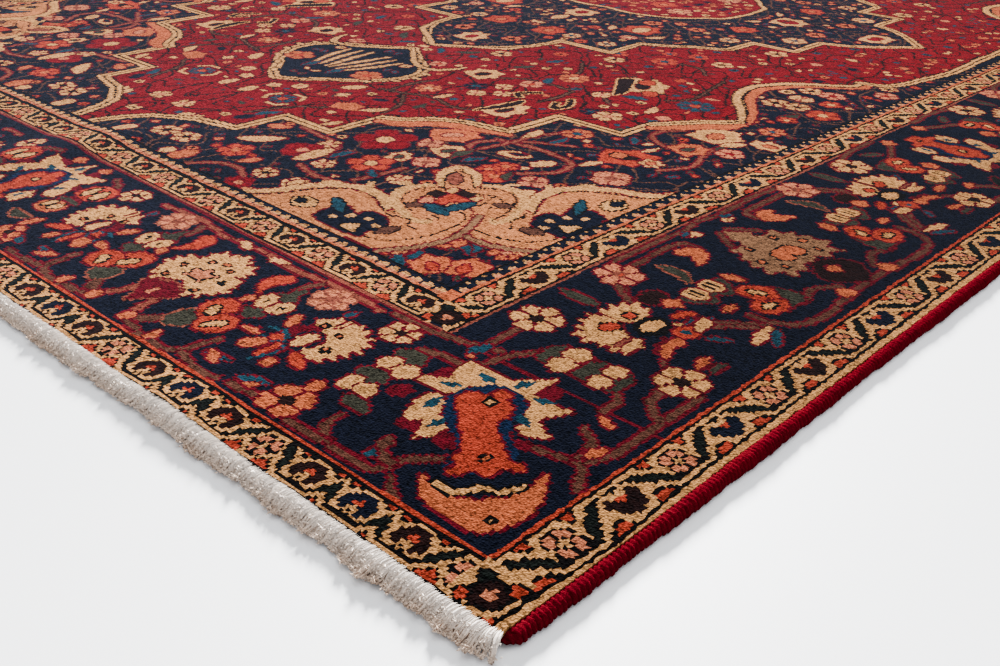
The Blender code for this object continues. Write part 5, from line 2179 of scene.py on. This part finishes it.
@dataclass(frozen=True)
class BackFinish:
    """The woven back: knots of muted wool between lines of cotton weft."""

    def make(self) -> bpy.types.Material:
        """Build the material."""
        nodes = Nodes("woven_back")
        place = nodes.place()
        knots = nodes.stretched(place, (1.0 / 0.0016, 1.0 / 0.0032, 0.0))
        cell = nodes.node("ShaderNodeVectorMath", {"operation": "FLOOR"}, {0: knots})
        own = nodes.node("ShaderNodeTexWhiteNoise", {"noise_dimensions": "3D"}, {"Vector": cell})
        weft = nodes.bands(place, 0.0064, 0.6)
        patches = nodes.noise(place, 9.0, 3.0)
        wool = nodes.blend(patches ** 1.5, (0.16, 0.020, 0.020), (0.30, 0.19, 0.12))
        colour = nodes.blend(weft ** 3.0 * 0.6, wool, (0.46, 0.41, 0.34))
        return nodes.finish(
            Base_Color=nodes.shade(colour, 0.7 + own * 0.5),
            Roughness=0.9,
            Normal=nodes.bump(weft + own * 0.4, 0.0006),
        )


@dataclass(frozen=True)
class SelvedgeFinish:
    """Crimson wool wound round the edge: fuzzy, painted light on the turns' crests, darker where it is
    worn.
    """

    def make(self) -> bpy.types.Material:
        """Build the material."""
        nodes = Nodes("crimson_winding")
        place = nodes.place()
        fuzz = nodes.noise(nodes.stretched(place, (0.5, 1.0, 0.5)), 900.0, 3.0, 0.7)
        turn = nodes.noise(nodes.stretched(place, (0.0, 1.0, 0.0)), 340.0, 1.0)
        worn = nodes.noise(place, 24.0, 3.0)
        colour = nodes.blend(worn ** 2.0, (0.060, 0.0012, 0.0038), (0.028, 0.0006, 0.0024))
        tufts = nodes.noise(place, 260.0, 2.0, 0.7)
        # Painted highlight and shade: the crests of the turns are painted lighter and the grooves between
        # them darker.
        ridge = nodes.attribute("turn")
        level = -1.15 + fuzz * 1.50 + turn * 0.80 + tufts * 1.4 + ridge * 0.75
        return nodes.finish(
            Base_Color=nodes.shade(colour, level.at_least(0.08)),
            Roughness=0.86,
            Normal=nodes.bump(fuzz + tufts, 0.0020),
            Specular_IOR_Level=0.0,
        )


@dataclass(frozen=True)
class FringeFinish:
    """Undyed cotton warps: near white by the pile, browner towards the cut ends: own grime and painted
    shade.
    """

    def make(self) -> bpy.types.Material:
        """Build the material."""
        nodes = Nodes("cotton_warp")
        place = nodes.place()
        own = nodes.attribute("yarn")
        along = nodes.axis(place, "Y")
        out = along.maths("ABSOLUTE", along)
        # Painted shade together with the cotton's own grime: the yarns are painted browner as they come
        # down to the floor.
        low = nodes.ramp(out, PILE_HALF_LENGTH + 0.006, PILE_HALF_LENGTH + 0.017, 0.0, 1.0)
        fibre = nodes.noise(nodes.stretched(place, (1.0, 0.22, 1.0)), 1300.0, 3.0, 0.65)
        grime_and_shade = nodes.noise(place, 30.0, 3.0)
        colour = nodes.blend(low * (0.45 + grime_and_shade * 0.9), (0.96, 0.83, 0.72), (0.64, 0.46, 0.34))
        level = 0.66 + own * 0.40 + (fibre - 0.5) * 0.5
        return nodes.finish(
            Base_Color=nodes.shade(colour, level),
            Roughness=0.88,
            Normal=nodes.bump(fibre, 0.0006),
            Specular_IOR_Level=0.1,
        )


@dataclass(frozen=True)
class FloorFinish:
    """A pale studio floor."""

    def make(self) -> bpy.types.Material:
        """Build the material."""
        nodes = Nodes("studio_floor")
        cloudy = nodes.noise(nodes.place(), 1.4, 2.0)
        return nodes.finish(Base_Color=nodes.shade((0.82, 0.825, 0.835), 0.97 + cloudy * 0.06),
                            Roughness=0.5)


@dataclass
class Studio:
    """Floor, lights, world and camera."""

    floor_size: float = 60.0
    floor_gap: float = 0.0002    # how far the floor lies under the carpet
    camera_place: tuple[float, float, float] = (1.339, -1.959, 0.4455)
    yaw: float = 41.688
    pitch: float = 27.958
    roll: float = 2.073
    lens: float = 39.18
    back_turn: float = 38.0      # where the back light stands, turned from +Y towards -X
    back_rise: float = 17.0
    back_softness: float = 10.0
    back_power: float = 42.0
    top_power: float = 120.0

    def floor(self) -> None:
        """Lay the floor: a square grid of quads just under the carpet."""
        lines = np.linspace(-0.5, 0.5, 9) * self.floor_size
        x, y = np.meshgrid(lines, lines)
        points = np.stack([x, y, np.full_like(x, -self.floor_gap)], -1).reshape(-1, 3)
        quads = grid_faces(len(lines), len(lines), False)
        obj = make_piece("studio_floor", points, quads.ravel(), np.full(len(quads), 4), smooth=False)
        obj.data.materials.append(FloorFinish().make())

    def lamp(self, name: str, place: Array, aim: Array, size: tuple[float, float], power: float) -> None:
        """Hang a soft box that faces a point."""
        data = bpy.data.lights.new(name, "AREA")
        data.shape = "RECTANGLE"
        data.size, data.size_y = size
        data.energy = power
        obj = bpy.data.objects.new(name, data)
        bpy.context.scene.collection.objects.link(obj)
        self.orient(obj, self.facing(np.asarray(place, float) - np.asarray(aim, float)), place)

    def facing(self, back: Array) -> Array:
        """Axes, one a column, of a light whose back points a given way and whose side is level."""
        back = back / np.linalg.norm(back)
        across = np.cross((0.0, 0.0, 1.0), back)
        across /= np.linalg.norm(across)
        return np.stack([across, np.cross(back, across), back], 1)

    def orient(self, obj: bpy.types.Object, axes: Array, place: Array) -> None:
        """Set an object's axes, one a column, and its place."""
        matrix = np.eye(4)
        matrix[:3, :3] = axes
        matrix[:3, 3] = place
        obj.matrix_world = Matrix(matrix.tolist())

    def lights(self) -> None:
        """A low distant light from behind, a wide soft box overhead, and a bright world for fill."""
        data = bpy.data.lights.new("back_light", "SUN")
        data.energy = self.back_power
        data.angle = math.radians(self.back_softness)
        obj = bpy.data.objects.new("back_light", data)
        bpy.context.scene.collection.objects.link(obj)
        turn, rise = math.radians(self.back_turn), math.radians(self.back_rise)
        back = np.array([-math.sin(turn) * math.cos(rise), math.cos(turn) * math.cos(rise), math.sin(rise)])
        self.orient(obj, self.facing(back), (-2.0, 2.0, 1.0))
        self.lamp("top_box", (0.4, -0.4, 3.4), (0.4, -0.9, 0.0), (3.4, 3.4), self.top_power)
        world = bpy.context.scene.world or bpy.data.worlds.new("studio")
        bpy.context.scene.world = world
        world.use_nodes = True
        sky = world.node_tree.nodes.get("Background") or world.node_tree.nodes.new("ShaderNodeBackground")
        sky.inputs["Color"].default_value = (0.93, 0.95, 1.0, 1.0)
        sky.inputs["Strength"].default_value = 1.0

    def camera(self) -> None:
        """Set the camera where the photograph was taken: yaw from +Y, pitch down and a slight roll."""
        yaw, pitch, roll = (math.radians(a) for a in (self.yaw, self.pitch, self.roll))
        ahead = np.array([-math.sin(yaw) * math.cos(pitch), math.cos(yaw) * math.cos(pitch),
                          -math.sin(pitch)])
        level = np.array([math.cos(yaw), math.sin(yaw), 0.0])
        above = np.cross(level, ahead)
        right = level * math.cos(roll) + above * math.sin(roll)
        up = above * math.cos(roll) - level * math.sin(roll)
        data = bpy.data.cameras.new("camera")
        data.sensor_width = 36.0
        data.lens = self.lens
        data.clip_start, data.clip_end = 0.01, 200.0
        obj = bpy.data.objects.new("camera", data)
        bpy.context.scene.collection.objects.link(obj)
        self.orient(obj, np.stack([right, up, -ahead], 1), self.camera_place)
        bpy.context.scene.camera = obj


def dress(obj: bpy.types.Object, material: bpy.types.Material, slot: str, *nodes: str) -> None:
    """Finish a piece: its material, body and the CAD nodes it stands for."""
    obj.data.materials.append(material)
    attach(obj, BODY)
    if nodes:
        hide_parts(*nodes)
    LOG.info("%s: %d faces", obj.name, len(obj.data.polygons))


def main() -> None:
    """Build the carpet and the studio."""
    logging.basicConfig(level=logging.INFO, format="%(name)s: %(message)s")
    studio = Studio()
    studio.camera()
    studio.lights()
    studio.floor()

    chart = draw_carpet()
    wool = PileFinish().make()
    for name, side, end in (
        ("pile_near_right", 1.0, -1.0),
        ("pile_near_left", -1.0, -1.0),
        ("pile_far_right", 1.0, 1.0),
        ("pile_far_left", -1.0, 1.0),
    ):
        quarter = PileQuarter(name, chart, side, end).build()
        dress(quarter, wool, "pile", "rug_body")

    winding = SelvedgeFinish().make()
    for name, side in (("selvedge_right", 1.0), ("selvedge_left", -1.0)):
        piece = Selvedge(f"wound_{name}", side).build()
        dress(piece, winding, "selvedge", name)

    cotton = FringeFinish().make()
    for name, end, seed in (("fringe_near", -1.0, 3), ("fringe_far", 1.0, 8)):
        piece = Fringe(f"warp_{name}", end, seed).build()
        dress(piece, cotton, "fringe", name)

    back = Backing().build()
    dress(back, BackFinish().make(), "backing", "rug_body")


if __name__ == "__main__":
    main()
